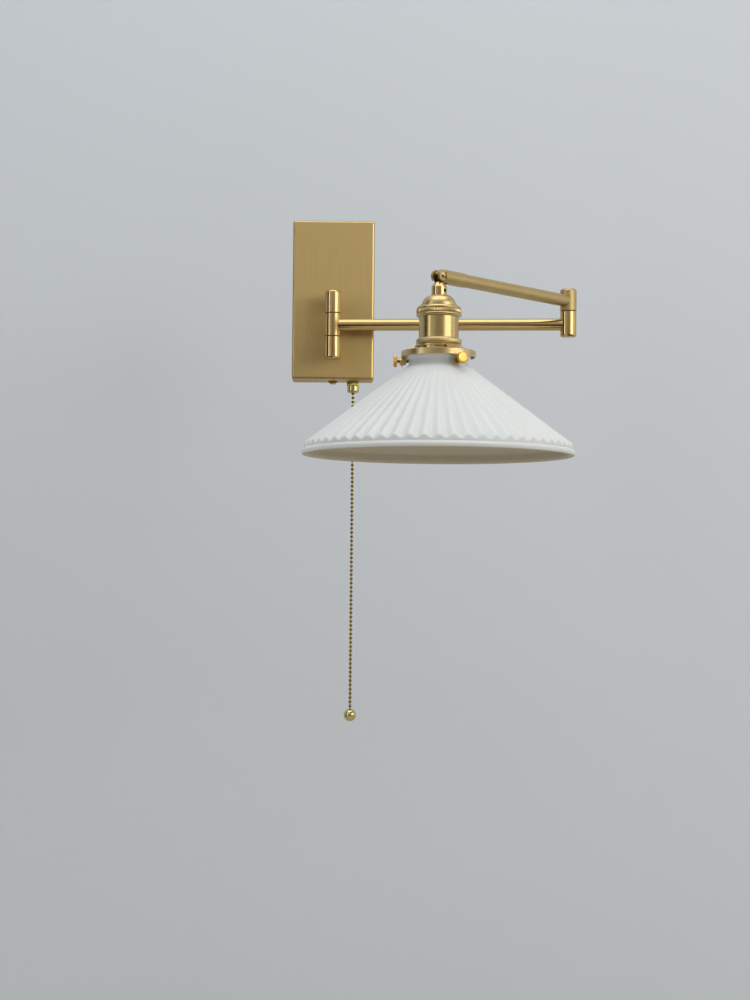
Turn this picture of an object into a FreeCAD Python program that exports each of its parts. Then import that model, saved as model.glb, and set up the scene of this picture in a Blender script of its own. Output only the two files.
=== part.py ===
import FreeCAD, Part
import math
import os

import Sketcher
from FreeCAD import Placement, Rotation, Vector

# Swing arm wall lamp: a brushed brass box on a wall bracket, a three knuckle wall hinge, two tube
# arms with an elbow, a clevis that lets the lampholder tilt, a three screw gallery and a pleated
# porcelain shade, with a bead chain switch under the box.
# Frame: millimetres, +Z up, the wall is the plane y = 0 and the lamp reaches out towards -Y.
# The origin is the centre of the box's back, where the bracket meets the wall.

SIZES = {
    # Wall box, its bracket and the screws between them
    "box_width": 82,
    "box_height": 160,
    "box_depth": 32,
    "box_wall": 1.5,
    "box_edge_round": 2.5,
    "bracket_width": 18,
    "bracket_thickness": 2,
    "bracket_tab_length": 18,
    "bracket_hole_diameter": 5.2,
    "bracket_hole_spacing": 120,
    "bracket_fit": 0.1,
    "box_screw_setback": 10,
    "box_screw_diameter": 4,
    "box_screw_tail": 3,
    "box_screw_head_diameter": 6.4,
    "box_screw_head_height": 2,
    "screw_clearance": 0.2,
    "screw_washer_diameter": 10,
    "screw_washer_thickness": 0.8,
    # Hinge knuckles, pins and washers
    "knuckle_diameter": 16,
    "knuckle_height": 22.5,
    "knuckle_edge": 0.4,
    "knuckle_round": 2.5,
    "hinge_standoff": 20,
    "arm_drop": 28,
    "washer_diameter": 14.4,
    "washer_thickness": 0.5,
    "pin_diameter": 8,
    "pin_bore": 4,
    "pin_clearance": 0.1,
    "pin_top_reach": 15,
    "pin_low_reach": 6.5,
    "braze_gap": 0.05,
    # Stand-off posts that carry the hinge, with their nuts inside the box
    "post_diameter": 10,
    "post_thread_diameter": 8,
    "post_bore": 4.4,
    "post_nut_across_flats": 13,
    "post_nut_thickness": 5,
    "post_washer_diameter": 16,
    "post_washer_thickness": 1.2,
    "post_thread_tail": 1.5,
    # Arms, with the pose that the joints rest at
    "tube_diameter": 12,
    "tube_wall": 1,
    "arm_1_length": 232,
    "arm_2_length": 196,
    "arm_1_yaw": 5,
    "arm_2_yaw": 47,
    "lead_diameter": 2,
    "lead_bend": 2.5,
    "lead_port_diameter": 5,
    # Elbow
    "arm_rise": 23,
    "elbow_lower_height": 25.6,
    "elbow_upper_height": 21.8,
    "elbow_pin_stop": 3.4,
    "elbow_flange_diameter": 10,
    "elbow_flange_thickness": 1.5,
    "elbow_cavity_diameter": 10.4,
    "elbow_plug_thickness": 3,
    # Clevis: the fork on arm 2, its screw and the tongue of the lampholder
    "sleeve_diameter": 13.2,
    "sleeve_length": 33.5,
    "sleeve_socket_depth": 18.5,
    "fork_slot_width": 5.6,
    "fork_slot_depth": 9,
    "fork_width": 10.4,
    "cheek_diameter": 11,
    "cheek_reach": 3,
    "tilt_screw_diameter": 3.4,
    "tilt_head_diameter": 5.6,
    "tilt_head_height": 2,
    "tilt_thread_reach": 1.2,
    "tilt_washer_diameter": 7,
    "tilt_side_gap": 0.1,
    "tongue_thickness": 3.4,
    "tongue_width": 8.6,
    "neck_gap": 0.8,
    "neck_top_depth": 10,
    "neck_length": 7.8,
    "neck_diameter": 13.8,
    "neck_screw_diameter": 3.4,
    "neck_screw_sink": 1,
    "nipple_diameter": 9.5,
    "nipple_bore": 6,
    "nipple_reach": 6,
    # Lampholder
    "dome_diameter": 30.4,
    "dome_height": 8.4,
    "dome_radius": 8.8,
    "bead_diameter": 32.4,
    "bead_height": 1.9,
    "upper_ring_diameter": 41,
    "upper_ring_height": 9.8,
    "ring_shoulder": 4,
    "ring_bevel": 1.4,
    "shell_diameter": 36,
    "shell_wall": 0.9,
    "shell_height": 19.2,
    "lower_ring_diameter": 41,
    "lower_ring_height": 6,
    "skirt_diameter": 33.4,
    "skirt_length": 10,
    "thread_clearance": 0.1,
    "insulator_floor": 4.1,
    "contact_shell_diameter": 27.8,
    "contact_shell_wall": 0.5,
    "contact_width": 6,
    "contact_rise": 3.2,
    "contact_thickness": 0.5,
    # Bulb
    "bulb_cap_diameter": 26.4,
    "bulb_cap_length": 25,
    "bulb_tip_diameter": 9,
    "bulb_tip_height": 2.5,
    "bulb_diameter": 45,
    "bulb_length": 50,
    "bulb_neck_diameter": 25,
    "bulb_wall": 1,
    # Gallery and its thumb screws
    "gallery_collar_diameter": 41,
    "gallery_thickness": 1.5,
    "gallery_drop": 6,
    "band_diameter": 67.2,
    "band_height": 5,
    "window_half_angle": 43,
    "window_margin": 0.6,
    "lug_width": 9,
    "lug_tail": 4.8,
    "gallery_nut_height": 3,
    "gallery_nut_diameter": 39,
    "boss_diameter": 6.6,
    "boss_stand": 1.6,
    "boss_reach": 5.6,
    "thumb_drop": 8.9,
    "thumb_shaft_diameter": 3,
    "thumb_head_diameter": 10.6,
    "thumb_head_thickness": 3,
    "thumb_head_gap": 2.4,
    "thumb_tip_gap": 0.3,
    # Shade
    "shade_neck_diameter": 53.2,
    "shade_neck_bore": 44,
    "shade_neck_height": 5.1,
    "shade_collar_diameter": 58,
    "shade_collar_height": 4,
    "shade_collar_gap": 0.2,
    "pleat_fade": 0.3,
    "shade_diameter": 240.8,
    "shade_slope": 37,
    "pleat_count": 60,
    "pleat_depth": 4.2,
    "pleat_phase": 2.3,
    "shade_wall": 3.4,
    "shade_rim_wall": 4.4,
    "shade_band_height": 1.9,
    "shade_lip_reach": 2.6,
    "shade_lip_height": 5.8,
    "shade_lip_flare": 4.6,
    "shade_lip_edge": 0.7,
    # Pull switch, its chain and ball
    "switch_inset": 20.4,
    "switch_setback": 12,
    "switch_width": 22,
    "switch_thickness": 18,
    "switch_height": 24,
    "switch_bushing_diameter": 9,
    "switch_bore": 4.6,
    "switch_nut_diameter": 12.6,
    "switch_nut_height": 5,
    "switch_bell_diameter": 12,
    "switch_bell_height": 6.8,
    "chain_length": 324,
    "chain_bead_diameter": 3.2,
    "chain_pitch": 4.25,
    "chain_link_diameter": 1.2,
    "chain_tail": 14,
    "ball_diameter": 12.4,
    "ball_socket_depth": 3,
    # Terminal block and earth screw on the bracket
    "terminal_width": 26,
    "terminal_height": 17,
    "terminal_thickness": 13,
    "terminal_level": 36,
    "terminal_pitch": 8,
    "terminal_bore": 3.4,
    "terminal_screw_diameter": 3.2,
    "terminal_screw_height": 1.2,
    "earth_screw_level": 12,
    "earth_screw_diameter": 7,
    "earth_screw_height": 2.4,
    "lead_setback": 9,
}

doc = FreeCAD.newDocument("swing_arm_wall_lamp")
sheet = doc.addObject("Spreadsheet::Sheet", "sizes")
for row, (alias, number) in enumerate(SIZES.items(), start=1):
    sheet.set(f"A{row}", str(number))
    sheet.setAlias(f"A{row}", alias)
doc.recompute()


class Size:
    """A number together with the sheet expression that gives it."""

    def __init__(self, value, text):
        self.value = value
        self.text = text

    def __add__(self, other):
        other = as_size(other)
        return Size(self.value + other.value, f"({self.text} + {other.text})")

    def __sub__(self, other):
        other = as_size(other)
        return Size(self.value - other.value, f"({self.text} - {other.text})")

    def __mul__(self, factor):
        factor = as_size(factor)
        return Size(self.value * factor.value, f"({self.text} * {factor.text})")

    def __truediv__(self, divisor):
        divisor = as_size(divisor)
        return Size(self.value / divisor.value, f"({self.text} / {divisor.text})")

    def __neg__(self):
        return Size(-self.value, f"(-1 * {self.text})")


def as_size(number):
    return number if isinstance(number, Size) else Size(float(number), f"({number})")


def cosine(angle):
    return Size(math.cos(math.radians(angle.value)), f"cos({angle.text})")


def sine(angle):
    return Size(math.sin(math.radians(angle.value)), f"sin({angle.text})")


class Cells:
    """Every cell of the sheet as a Size, by its alias."""

    def __getattr__(self, alias):
        return Size(float(sheet.get(alias)), f"sizes.{alias}")


s = Cells()
nodes = []


def bind(item, prop, size):
    item.setExpression(prop, as_size(size).text)


def place(item, where, yaw=0):
    for axis, size in zip("xyz", where):
        bind(item, f"Placement.Base.{axis}", size)
    bind(item, "Placement.Rotation.Angle", yaw)


def new_body(label, where=(0, 0, 0), yaw=0, node=True):
    body = doc.addObject("PartDesign::Body", label)
    body.Label = label
    place(body, where, yaw)
    if node:
        nodes.append(body)
    return body


def origin_feature(body, role):
    return next(f for f in body.Origin.OriginFeatures if f.Role == role)


def pin_point(sketch, line, end, x, y):
    """Tie one end of a line to its place on the sketch."""
    for kind, size, axis_line in (("DistanceX", as_size(x), -2), ("DistanceY", as_size(y), -1)):
        if size.value == 0:
            sketch.addConstraint(Sketcher.Constraint("PointOnObject", line, end, axis_line))
            continue
        index = sketch.addConstraint(Sketcher.Constraint(kind, -1, 1, line, end, size.value))
        sketch.setExpression(f"Constraints[{index}]", size.text)


def draw_circle(sketch, x, y, radius):
    centre = Vector(as_size(x).value, as_size(y).value, 0)
    line = sketch.addGeometry(Part.Circle(centre, Vector(0, 0, 1), radius.value), False)
    pin_point(sketch, line, 3, x, y)
    index = sketch.addConstraint(Sketcher.Constraint("Radius", line, radius.value))
    sketch.setExpression(f"Constraints[{index}]", radius.text)


def arc_through(start, end, radius):
    """The short arc of a radius from one point to another, bulging to the right."""
    chord = end - start
    right = Vector(chord.y, -chord.x, 0).normalize()
    half = chord.Length / 2
    rise = radius - math.sqrt(max(radius * radius - half * half, 0))
    return Part.Arc(start, (start + end) * 0.5 + right * rise, end)


def draw_loop(sketch, corners):
    """A closed loop of corners (x, y), or (x, y, radius) where an arc leads to that corner.

    A positive radius bulges to the right of the way the loop runs, a negative one to the left.
    """
    points = [Vector(as_size(c[0]).value, as_size(c[1]).value, 0) for c in corners]
    ends = []
    for i, corner in enumerate(corners):
        start, end = points[i - 1], points[i]
        if len(corner) == 2:
            line = sketch.addGeometry(Part.LineSegment(start, end), False)
            ends.append((line, 1, 2))
            continue
        radius = as_size(corner[2])
        if radius.value > 0:
            size = radius
            line = sketch.addGeometry(arc_through(start, end, size.value), False)
            ends.append((line, 1, 2))
        else:
            size = -radius
            line = sketch.addGeometry(arc_through(end, start, size.value), False)
            ends.append((line, 2, 1))
        index = sketch.addConstraint(Sketcher.Constraint("Radius", line, size.value))
        sketch.setExpression(f"Constraints[{index}]", size.text)
    for i, (line, _, last) in enumerate(ends):
        following, first, _ = ends[(i + 1) % len(ends)]
        sketch.addConstraint(Sketcher.Constraint("Coincident", line, last, following, first))
        pin_point(sketch, line, last, corners[i][0], corners[i][1])


def new_sketch(body, plane, loops, lift=0):
    """A sketch on one of the body's own planes, of loops and of circles (x, y, radius)."""
    sketch = body.newObject("Sketcher::SketchObject", "outline")
    sketch.AttachmentSupport = [(origin_feature(body, f"{plane}_Plane"), "")]
    sketch.MapMode = "FlatFace"
    bind(sketch, "AttachmentOffset.Base.z", lift)
    for loop in loops:
        if isinstance(loop, tuple):
            draw_circle(sketch, *loop)
        else:
            draw_loop(sketch, loop)
    return sketch


def pad(body, plane, loops, length, lift=0, flip=False, both=False):
    sketch = new_sketch(body, plane, loops, lift)
    item = body.newObject("PartDesign::Pad", "pad")
    item.Profile = sketch
    item.Reversed = flip
    item.Midplane = both
    bind(item, "Length", length)
    return item


def pocket(body, plane, loops, length=None, lift=0, flip=False, both=False):
    """A cut along the plane's normal: backwards, forwards when flipped, through all with no length."""
    sketch = new_sketch(body, plane, loops, lift)
    item = body.newObject("PartDesign::Pocket", "pocket")
    item.Profile = sketch
    item.Reversed = flip
    item.Midplane = both
    if length is None:
        item.Type = "ThroughAll"
    else:
        bind(item, "Length", length)
    return item


def turn(body, plane, corners, axis="V_Axis"):
    sketch = new_sketch(body, plane, [corners])
    item = body.newObject("PartDesign::Revolution", "turned")
    item.Profile = sketch
    item.ReferenceAxis = (sketch, [axis])
    return item


def repeat_round(body, features, count):
    item = body.newObject("PartDesign::PolarPattern", "repeated")
    item.Originals = features
    item.Axis = (origin_feature(body, "Z_Axis"), [""])
    item.Angle = 360
    item.Occurrences = count
    body.Tip = item
    return item


def round_edges(body, radius, chosen):
    doc.recompute()
    base = body.Tip
    names = [f"Edge{i}" for i, edge in enumerate(base.Shape.Edges, start=1) if chosen(edge)]
    item = body.newObject("PartDesign::Fillet", "rounding")
    item.Base = (base, names)
    bind(item, "Radius", radius)


def rectangle(x_low, x_high, y_low, y_high):
    return [(x_low, y_low), (x_high, y_low), (x_high, y_high), (x_low, y_high)]


def mirrored_pair(label, body, level):
    """One node of two like pieces: the body and its mirror image across a level plane."""
    image = doc.addObject("Part::Mirroring", f"{label}_image")
    image.Source = body
    image.Normal = (0, 0, 1)
    bind(image, "Base.z", level)
    pair = doc.addObject("Part::Compound", label)
    pair.Label = label
    pair.Links = [body, image]
    nodes.append(pair)


def rounded_path(points, radius):
    """Straight runs between the points, with a tangent arc at each inner point."""
    edges = []
    start = points[0]
    for before, corner, after in zip(points, points[1:], points[2:]):
        back = (before - corner).normalize()
        onward = (after - corner).normalize()
        half_turn = (math.pi - back.getAngle(onward)) / 2
        reach = radius * math.tan(half_turn)
        inward = (back + onward).normalize()
        near = corner + inward * (radius / math.cos(half_turn) - radius)
        edges.append(Part.LineSegment(start, corner + back * reach).toShape())
        edges.append(Part.Arc(corner + back * reach, near, corner + onward * reach).toShape())
        start = corner + onward * reach
    edges.append(Part.LineSegment(start, points[-1]).toShape())
    return Part.Wire(edges)


def lead(label, points, where, yaw=0, radius=None):
    """An insulated lead of round section along a path of runs and arcs."""
    bend = s.lead_bend.value if radius is None else radius
    path = [Vector(*(as_size(c).value for c in point)) for point in points]
    wire = rounded_path(path, bend) if len(path) > 2 else Part.Wire(Part.makeLine(*path))
    heading = (path[1] - path[0]).normalize()
    section = Part.Wire(Part.makeCircle(s.lead_diameter.value / 2, path[0], heading))
    item = doc.addObject("Part::Feature", label)
    item.Label = label
    item.Shape = wire.makePipeShell([section], True, False)
    base = Vector(*(as_size(c).value for c in where))
    item.Placement = Placement(base, Rotation(Vector(0, 0, 1), as_size(yaw).value))
    nodes.append(item)


# Frames of the moving parts: the wall hinge, the elbow and the tilt pivot
hinge_y = -(s.box_depth + s.hinge_standoff)
hinge_place = (0, hinge_y, -s.arm_drop)
arm_1_turn = -s.arm_1_yaw
arm_2_turn = s.arm_2_yaw + 180
knuckle_pitch = s.knuckle_height + s.washer_thickness
elbow_x = s.arm_1_length * cosine(s.arm_1_yaw)
elbow_y = hinge_y - s.arm_1_length * sine(s.arm_1_yaw)
elbow_place = (elbow_x, elbow_y, -s.arm_drop)
arm_2_level = s.arm_rise - s.arm_drop
upper_elbow_place = (elbow_x, elbow_y, arm_2_level)
pivot_x = elbow_x - s.arm_2_length * cosine(s.arm_2_yaw)
pivot_y = elbow_y - s.arm_2_length * sine(s.arm_2_yaw)
pivot_place = (pivot_x, pivot_y, arm_2_level)

knuckle_radius = s.knuckle_diameter / 2
half_knuckle = s.knuckle_height / 2
pin_radius = s.pin_diameter / 2
tube_radius = s.tube_diameter / 2
cope_radius = knuckle_radius + s.braze_gap

# Wall bracket: a steel strip bent at both ends, screwed to the wall through two holes
bracket_half = s.box_height / 2 - s.box_wall - s.bracket_fit
bracket = new_body("wall_bracket")
bracket_profile = [
    (0, -bracket_half),
    (0, bracket_half),
    (-s.bracket_tab_length, bracket_half),
    (-s.bracket_tab_length, bracket_half - s.bracket_thickness),
    (-s.bracket_thickness, bracket_half - s.bracket_thickness),
    (-s.bracket_thickness, s.bracket_thickness - bracket_half),
    (-s.bracket_tab_length, s.bracket_thickness - bracket_half),
    (-s.bracket_tab_length, -bracket_half),
]
pad(bracket, "YZ", [bracket_profile], s.bracket_width, both=True)
half_spacing = s.bracket_hole_spacing / 2
hole_radius = s.bracket_hole_diameter / 2
pocket(bracket, "XZ", [(0, half_spacing, hole_radius), (0, -half_spacing, hole_radius)], both=True)
pocket(bracket, "XY", [(0, -s.box_screw_setback, s.box_screw_diameter / 2)], both=True)

# Wall box: a folded brass cover, open at the back
half_width = s.box_width / 2
half_height = s.box_height / 2
box = new_body("wall_box")
outer_face = rectangle(-half_width, half_width, -half_height, half_height)
inner_face = rectangle(
    s.box_wall - half_width,
    half_width - s.box_wall,
    s.box_wall - half_height,
    half_height - s.box_wall,
)
pad(box, "XZ", [outer_face], s.box_depth)
round_edges(box, s.box_edge_round, lambda edge: edge.BoundBox.YMin < -0.001)
pocket(box, "XZ", [inner_face], s.box_depth - s.box_wall, flip=True)
post_hole = s.post_thread_diameter / 2 + s.screw_clearance
post_levels = (knuckle_pitch - s.arm_drop, -(knuckle_pitch + s.arm_drop))
pocket(box, "XZ", [(0, level, post_hole) for level in post_levels], flip=True)
box_screw_hole = (0, -s.box_screw_setback, s.box_screw_diameter / 2 + s.screw_clearance)
switch_radius = s.switch_bushing_diameter / 2
switch_x = half_width - s.switch_inset
switch_hole = (switch_x, -s.switch_setback, switch_radius + s.screw_clearance)
pocket(box, "XY", [box_screw_hole, switch_hole])
pocket(box, "XY", [box_screw_hole], flip=True)

# Two screws with fibre washers hold the box to the bracket's tabs, one below and one above
washer_face = half_height + s.screw_washer_thickness
screw_top = bracket_half - s.bracket_thickness - s.box_screw_tail
screw_core = s.box_screw_diameter / 2 - s.thread_clearance
screw_head = s.box_screw_head_diameter / 2
screw_place = (0, -s.box_screw_setback, 0)
box_screw = new_body("box_screw", screw_place, node=False)
turn(box_screw, "XZ", [
    (0, -screw_top),
    (0, -(washer_face + s.box_screw_head_height)),
    (screw_head - s.box_screw_head_height / 2, -(washer_face + s.box_screw_head_height)),
    (screw_head, -(washer_face + s.box_screw_head_height / 2), s.box_screw_head_height / 2),
    (screw_head, -washer_face),
    (screw_core, -washer_face),
    (screw_core, -screw_top),
])
mirrored_pair("box_screws", box_screw, 0)
fibre_washer = new_body("fibre_washer", screw_place, node=False)
turn(fibre_washer, "XZ", rectangle(
    s.box_screw_diameter / 2 + s.screw_clearance,
    s.screw_washer_diameter / 2,
    -washer_face,
    -half_height,
))
mirrored_pair("screw_washers", fibre_washer, 0)

# Fixed knuckles of the wall hinge, closed at their outer ends
fixed_foot = half_knuckle + s.washer_thickness
fixed_end = fixed_foot + s.knuckle_height
running_radius = pin_radius + s.pin_clearance
pin_top = fixed_foot + s.pin_top_reach
pin_foot = fixed_foot + s.pin_low_reach
post_level = knuckle_pitch
bend_room = post_level + s.post_bore / 2 + s.pin_clearance


def closed_knuckle(body, foot, end, bore, bore_end, way):
    """A knuckle from its open foot to its rounded end, pointing up (way 1) or down (way -1)."""
    turn(body, "XZ", [
        (0, end * way),
        (0, bore_end * way),
        (bore, bore_end * way),
        (bore, foot * way),
        (knuckle_radius - s.knuckle_edge, foot * way),
        (knuckle_radius, (foot + s.knuckle_edge) * way),
        (knuckle_radius, (end - s.knuckle_round) * way),
        (knuckle_radius - s.knuckle_round, end * way, s.knuckle_round * way),
    ])


top_knuckle = new_body("hinge_top_knuckle", hinge_place)
closed_knuckle(top_knuckle, fixed_foot, fixed_end, running_radius, pin_top + s.pin_clearance, 1)
bottom_knuckle = new_body("hinge_bottom_knuckle", hinge_place)
closed_knuckle(bottom_knuckle, fixed_foot, fixed_end, running_radius, bend_room, -1)
pocket(bottom_knuckle, "XZ", [(0, -post_level, s.post_bore / 2)])

# Stand-off posts: hollow, coped to the knuckles, through the box front into nuts
box_inside = s.hinge_standoff + s.box_wall
nut_foot = box_inside + s.post_washer_thickness
post_end = nut_foot + s.post_nut_thickness + s.post_thread_tail
thread_radius = s.post_thread_diameter / 2
upper_post_place = (0, hinge_y, post_level - s.arm_drop)
post = new_body("hinge_post", upper_post_place, node=False)
turn(post, "XY", [
    (s.post_bore / 2, 0),
    (s.post_diameter / 2, 0),
    (s.post_diameter / 2, s.hinge_standoff),
    (thread_radius, s.hinge_standoff),
    (thread_radius, post_end),
    (s.post_bore / 2, post_end),
])
pocket(post, "XY", [(0, 0, cope_radius)], both=True)
mirrored_pair("hinge_posts", post, -s.arm_drop)
post_washer = new_body("post_washer", upper_post_place, node=False)
turn(post_washer, "XY", rectangle(
    thread_radius + s.screw_clearance,
    s.post_washer_diameter / 2,
    box_inside,
    nut_foot,
))
mirrored_pair("post_washers", post_washer, -s.arm_drop)
half_flat = s.post_nut_across_flats / 2
nut_corner = s.post_nut_across_flats / math.sqrt(3)
hexagon = [
    (nut_corner, 0),
    (nut_corner / 2, half_flat),
    (-nut_corner / 2, half_flat),
    (-nut_corner, 0),
    (-nut_corner / 2, -half_flat),
    (nut_corner / 2, -half_flat),
]
post_nut = new_body("post_nut", upper_post_place, node=False)
nut_hole = (0, 0, thread_radius + s.thread_clearance)
pad(post_nut, "XZ", [hexagon, nut_hole], s.post_nut_thickness, lift=-nut_foot, flip=True)
mirrored_pair("post_nuts", post_nut, -s.arm_drop)

# Arm 1: its hinge knuckle turns with a hollow pin between two washers
middle_knuckle = new_body("hinge_middle_knuckle", hinge_place, arm_1_turn)
knuckle_bore = pin_radius + s.braze_gap
turn(middle_knuckle, "XZ", [
    (knuckle_bore, -half_knuckle),
    (knuckle_radius - s.knuckle_edge, -half_knuckle),
    (knuckle_radius, s.knuckle_edge - half_knuckle),
    (knuckle_radius, half_knuckle - s.knuckle_edge),
    (knuckle_radius - s.knuckle_edge, half_knuckle),
    (knuckle_bore, half_knuckle),
])
lead_port = (0, 0, s.lead_port_diameter / 2)
pocket(middle_knuckle, "YZ", [lead_port], flip=True)
hinge_pin = new_body("hinge_pin", hinge_place, arm_1_turn)
turn(hinge_pin, "XZ", [
    (s.pin_bore / 2, -pin_foot),
    (pin_radius, -pin_foot),
    (pin_radius, pin_top),
    (0, pin_top),
    (0, s.pin_bore / 2),
    (s.pin_bore / 2, s.pin_bore / 2),
])
pocket(hinge_pin, "YZ", [(0, 0, s.pin_bore / 2)], flip=True)
hinge_washer = new_body("hinge_washer", hinge_place, node=False)
turn(hinge_washer, "XZ", rectangle(
    pin_radius + s.pin_clearance,
    s.washer_diameter / 2,
    half_knuckle,
    half_knuckle + s.washer_thickness,
))
mirrored_pair("hinge_washers", hinge_washer, -s.arm_drop)
tube_bore = tube_radius - s.tube_wall
arm_1_tube = new_body("arm_1_tube", hinge_place, arm_1_turn)
turn(arm_1_tube, "XY", rectangle(0, s.arm_1_length, tube_bore, tube_radius), "H_Axis")
pocket(arm_1_tube, "XY", [(0, 0, cope_radius), (s.arm_1_length, 0, cope_radius)], both=True)

# Elbow: arm 1's knuckle holds a hollow shouldered pin, and arm 2's knuckle turns on it
half_elbow = s.elbow_lower_height / 2
lower_knuckle = new_body("elbow_lower_knuckle", elbow_place, arm_1_turn)
turn(lower_knuckle, "XZ", [
    (0, -half_elbow),
    (knuckle_radius - s.knuckle_round, -half_elbow),
    (knuckle_radius, s.knuckle_round - half_elbow, s.knuckle_round),
    (knuckle_radius, half_elbow - s.knuckle_edge),
    (knuckle_radius - s.knuckle_edge, half_elbow),
    (knuckle_bore, half_elbow),
    (knuckle_bore, -s.elbow_pin_stop),
    (0, -s.elbow_pin_stop),
])
pocket(lower_knuckle, "YZ", [lead_port])
flange_foot = s.arm_rise - s.elbow_pin_stop - s.elbow_flange_thickness
elbow_pin = new_body("elbow_pin", elbow_place, arm_1_turn)
turn(elbow_pin, "XZ", [
    (s.pin_bore / 2, s.elbow_pin_stop),
    (pin_radius, s.elbow_pin_stop),
    (pin_radius, flange_foot),
    (s.elbow_flange_diameter / 2, flange_foot),
    (s.elbow_flange_diameter / 2, flange_foot + s.elbow_flange_thickness),
    (s.pin_bore / 2, flange_foot + s.elbow_flange_thickness),
])
elbow_washer = new_body("elbow_washer", elbow_place)
turn(elbow_washer, "XZ", rectangle(
    pin_radius + s.pin_clearance,
    s.washer_diameter / 2,
    half_elbow,
    half_elbow + s.washer_thickness,
))
upper_knuckle = new_body("elbow_upper_knuckle", upper_elbow_place, arm_2_turn)
cavity_radius = s.elbow_cavity_diameter / 2
cavity_foot = flange_foot - s.arm_rise - s.pin_clearance
upper_foot = half_elbow + s.washer_thickness - s.arm_rise
upper_top = upper_foot + s.elbow_upper_height
turn(upper_knuckle, "XZ", [
    (running_radius, upper_foot),
    (knuckle_radius - s.knuckle_edge, upper_foot),
    (knuckle_radius, upper_foot + s.knuckle_edge),
    (knuckle_radius, upper_top - s.knuckle_round),
    (knuckle_radius - s.knuckle_round, upper_top, s.knuckle_round),
    (cavity_radius, upper_top),
    (cavity_radius, cavity_foot),
    (running_radius, cavity_foot),
])
pocket(upper_knuckle, "YZ", [lead_port], flip=True)
elbow_plug = new_body("elbow_plug", upper_elbow_place)
plug_radius = cavity_radius - s.braze_gap
turn(elbow_plug, "XZ", rectangle(0, plug_radius, upper_top - s.elbow_plug_thickness, upper_top))

# Arm 2 and the fork brazed over its end
sleeve_radius = s.sleeve_diameter / 2
arm_2_tube = new_body("arm_2_tube", upper_elbow_place, arm_2_turn)
tube_end = s.arm_2_length - s.sleeve_length + s.sleeve_socket_depth
turn(arm_2_tube, "XY", rectangle(0, tube_end, tube_bore, tube_radius), "H_Axis")
pocket(arm_2_tube, "XY", [(0, 0, cope_radius)], both=True)

cheek_radius = s.cheek_diameter / 2
beyond = sleeve_radius * 2
fork = new_body("tilt_fork", pivot_place, arm_2_turn)
turn(fork, "XY", rectangle(-s.sleeve_length, cheek_radius, 0, sleeve_radius), "H_Axis")
cheek_trim = [
    (-s.cheek_reach, cheek_radius),
    (-s.cheek_reach, beyond),
    (beyond, beyond),
    (beyond, -beyond),
    (-s.cheek_reach, -beyond),
    (-s.cheek_reach, -cheek_radius),
    (0, -cheek_radius),
    (cheek_radius, 0, cheek_radius),
    (0, cheek_radius, cheek_radius),
]
pocket(fork, "XZ", [cheek_trim], both=True)
half_fork = s.fork_width / 2
pocket(fork, "XY", [
    rectangle(-s.cheek_reach, beyond, half_fork, beyond),
    rectangle(-s.cheek_reach, beyond, -beyond, -half_fork),
    rectangle(-s.fork_slot_depth, beyond, -s.fork_slot_width / 2, s.fork_slot_width / 2),
], both=True)
tube_socket = (0, 0, tube_radius + s.braze_gap)
pocket(fork, "YZ", [tube_socket], s.sleeve_socket_depth, lift=-s.sleeve_length, flip=True)
pocket(fork, "YZ", [lead_port], s.sleeve_length - s.fork_slot_depth, lift=-s.sleeve_length, flip=True)
tilt_hole = (0, 0, s.tilt_screw_diameter / 2 + s.thread_clearance)
pocket(fork, "XZ", [tilt_hole], both=True)

# Tilt screw with a domed head, its domed nut and the friction washers beside the tongue
tilt_head = s.tilt_head_diameter / 2
tilt_core = s.tilt_screw_diameter / 2
dome_end = half_fork + s.tilt_head_height
half_slot = s.fork_slot_width / 2
half_tongue = s.tongue_thickness / 2
domed_radius = (tilt_head * tilt_head + s.tilt_head_height * s.tilt_head_height) / (s.tilt_head_height * 2)
screw_end = half_fork + s.tilt_thread_reach
tilt_screw = new_body("tilt_screw", pivot_place, arm_2_turn)
turn(tilt_screw, "XY", [
    (0, -screw_end),
    (tilt_core, -screw_end),
    (tilt_core, half_fork),
    (tilt_head, half_fork),
    (0, dome_end, domed_radius),
])
tilt_nut = new_body("tilt_nut", pivot_place, arm_2_turn)
nut_bore = tilt_core + s.thread_clearance
turn(tilt_nut, "XY", [
    (nut_bore, -half_fork),
    (nut_bore, -(screw_end + s.thread_clearance)),
    (0, -(screw_end + s.thread_clearance)),
    (0, -dome_end),
    (tilt_head, -half_fork, domed_radius),
])
washer_reach = half_slot - s.tilt_side_gap
tilt_washers = new_body("tilt_washers", pivot_place, arm_2_turn)
tilt_washers.AllowCompound = True
friction_radius = s.tilt_washer_diameter / 2
turn(tilt_washers, "XY", rectangle(nut_bore, friction_radius, half_tongue, washer_reach))
turn(tilt_washers, "XY", rectangle(nut_bore, friction_radius, -washer_reach, -half_tongue))

# Tongue and neck: one turned and milled piece that hangs the lampholder from the fork
half_tongue_width = s.tongue_width / 2
neck_radius = s.neck_diameter / 2
cap_depth = s.neck_top_depth + s.neck_length
nipple_radius = s.nipple_diameter / 2
nipple_top = cap_depth - s.nipple_reach
cone_depth = cheek_radius + s.neck_gap
tongue = new_body("tilt_tongue", pivot_place, arm_2_turn)
pad(tongue, "XZ", [[
    (-half_tongue_width, -s.neck_top_depth),
    (half_tongue_width, -s.neck_top_depth),
    (half_tongue_width, 0),
    (0, half_tongue_width, half_tongue_width),
    (-half_tongue_width, 0, half_tongue_width),
]], s.tongue_thickness, both=True)
turn(tongue, "XZ", [
    (0, -cone_depth),
    (half_tongue_width, -cone_depth),
    (neck_radius, -s.neck_top_depth),
    (neck_radius, -cap_depth),
    (nipple_radius + s.thread_clearance, -cap_depth),
    (nipple_radius + s.thread_clearance, -nipple_top),
    (0, -nipple_top),
])
pocket(tongue, "XZ", [tilt_hole], both=True)
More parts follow.
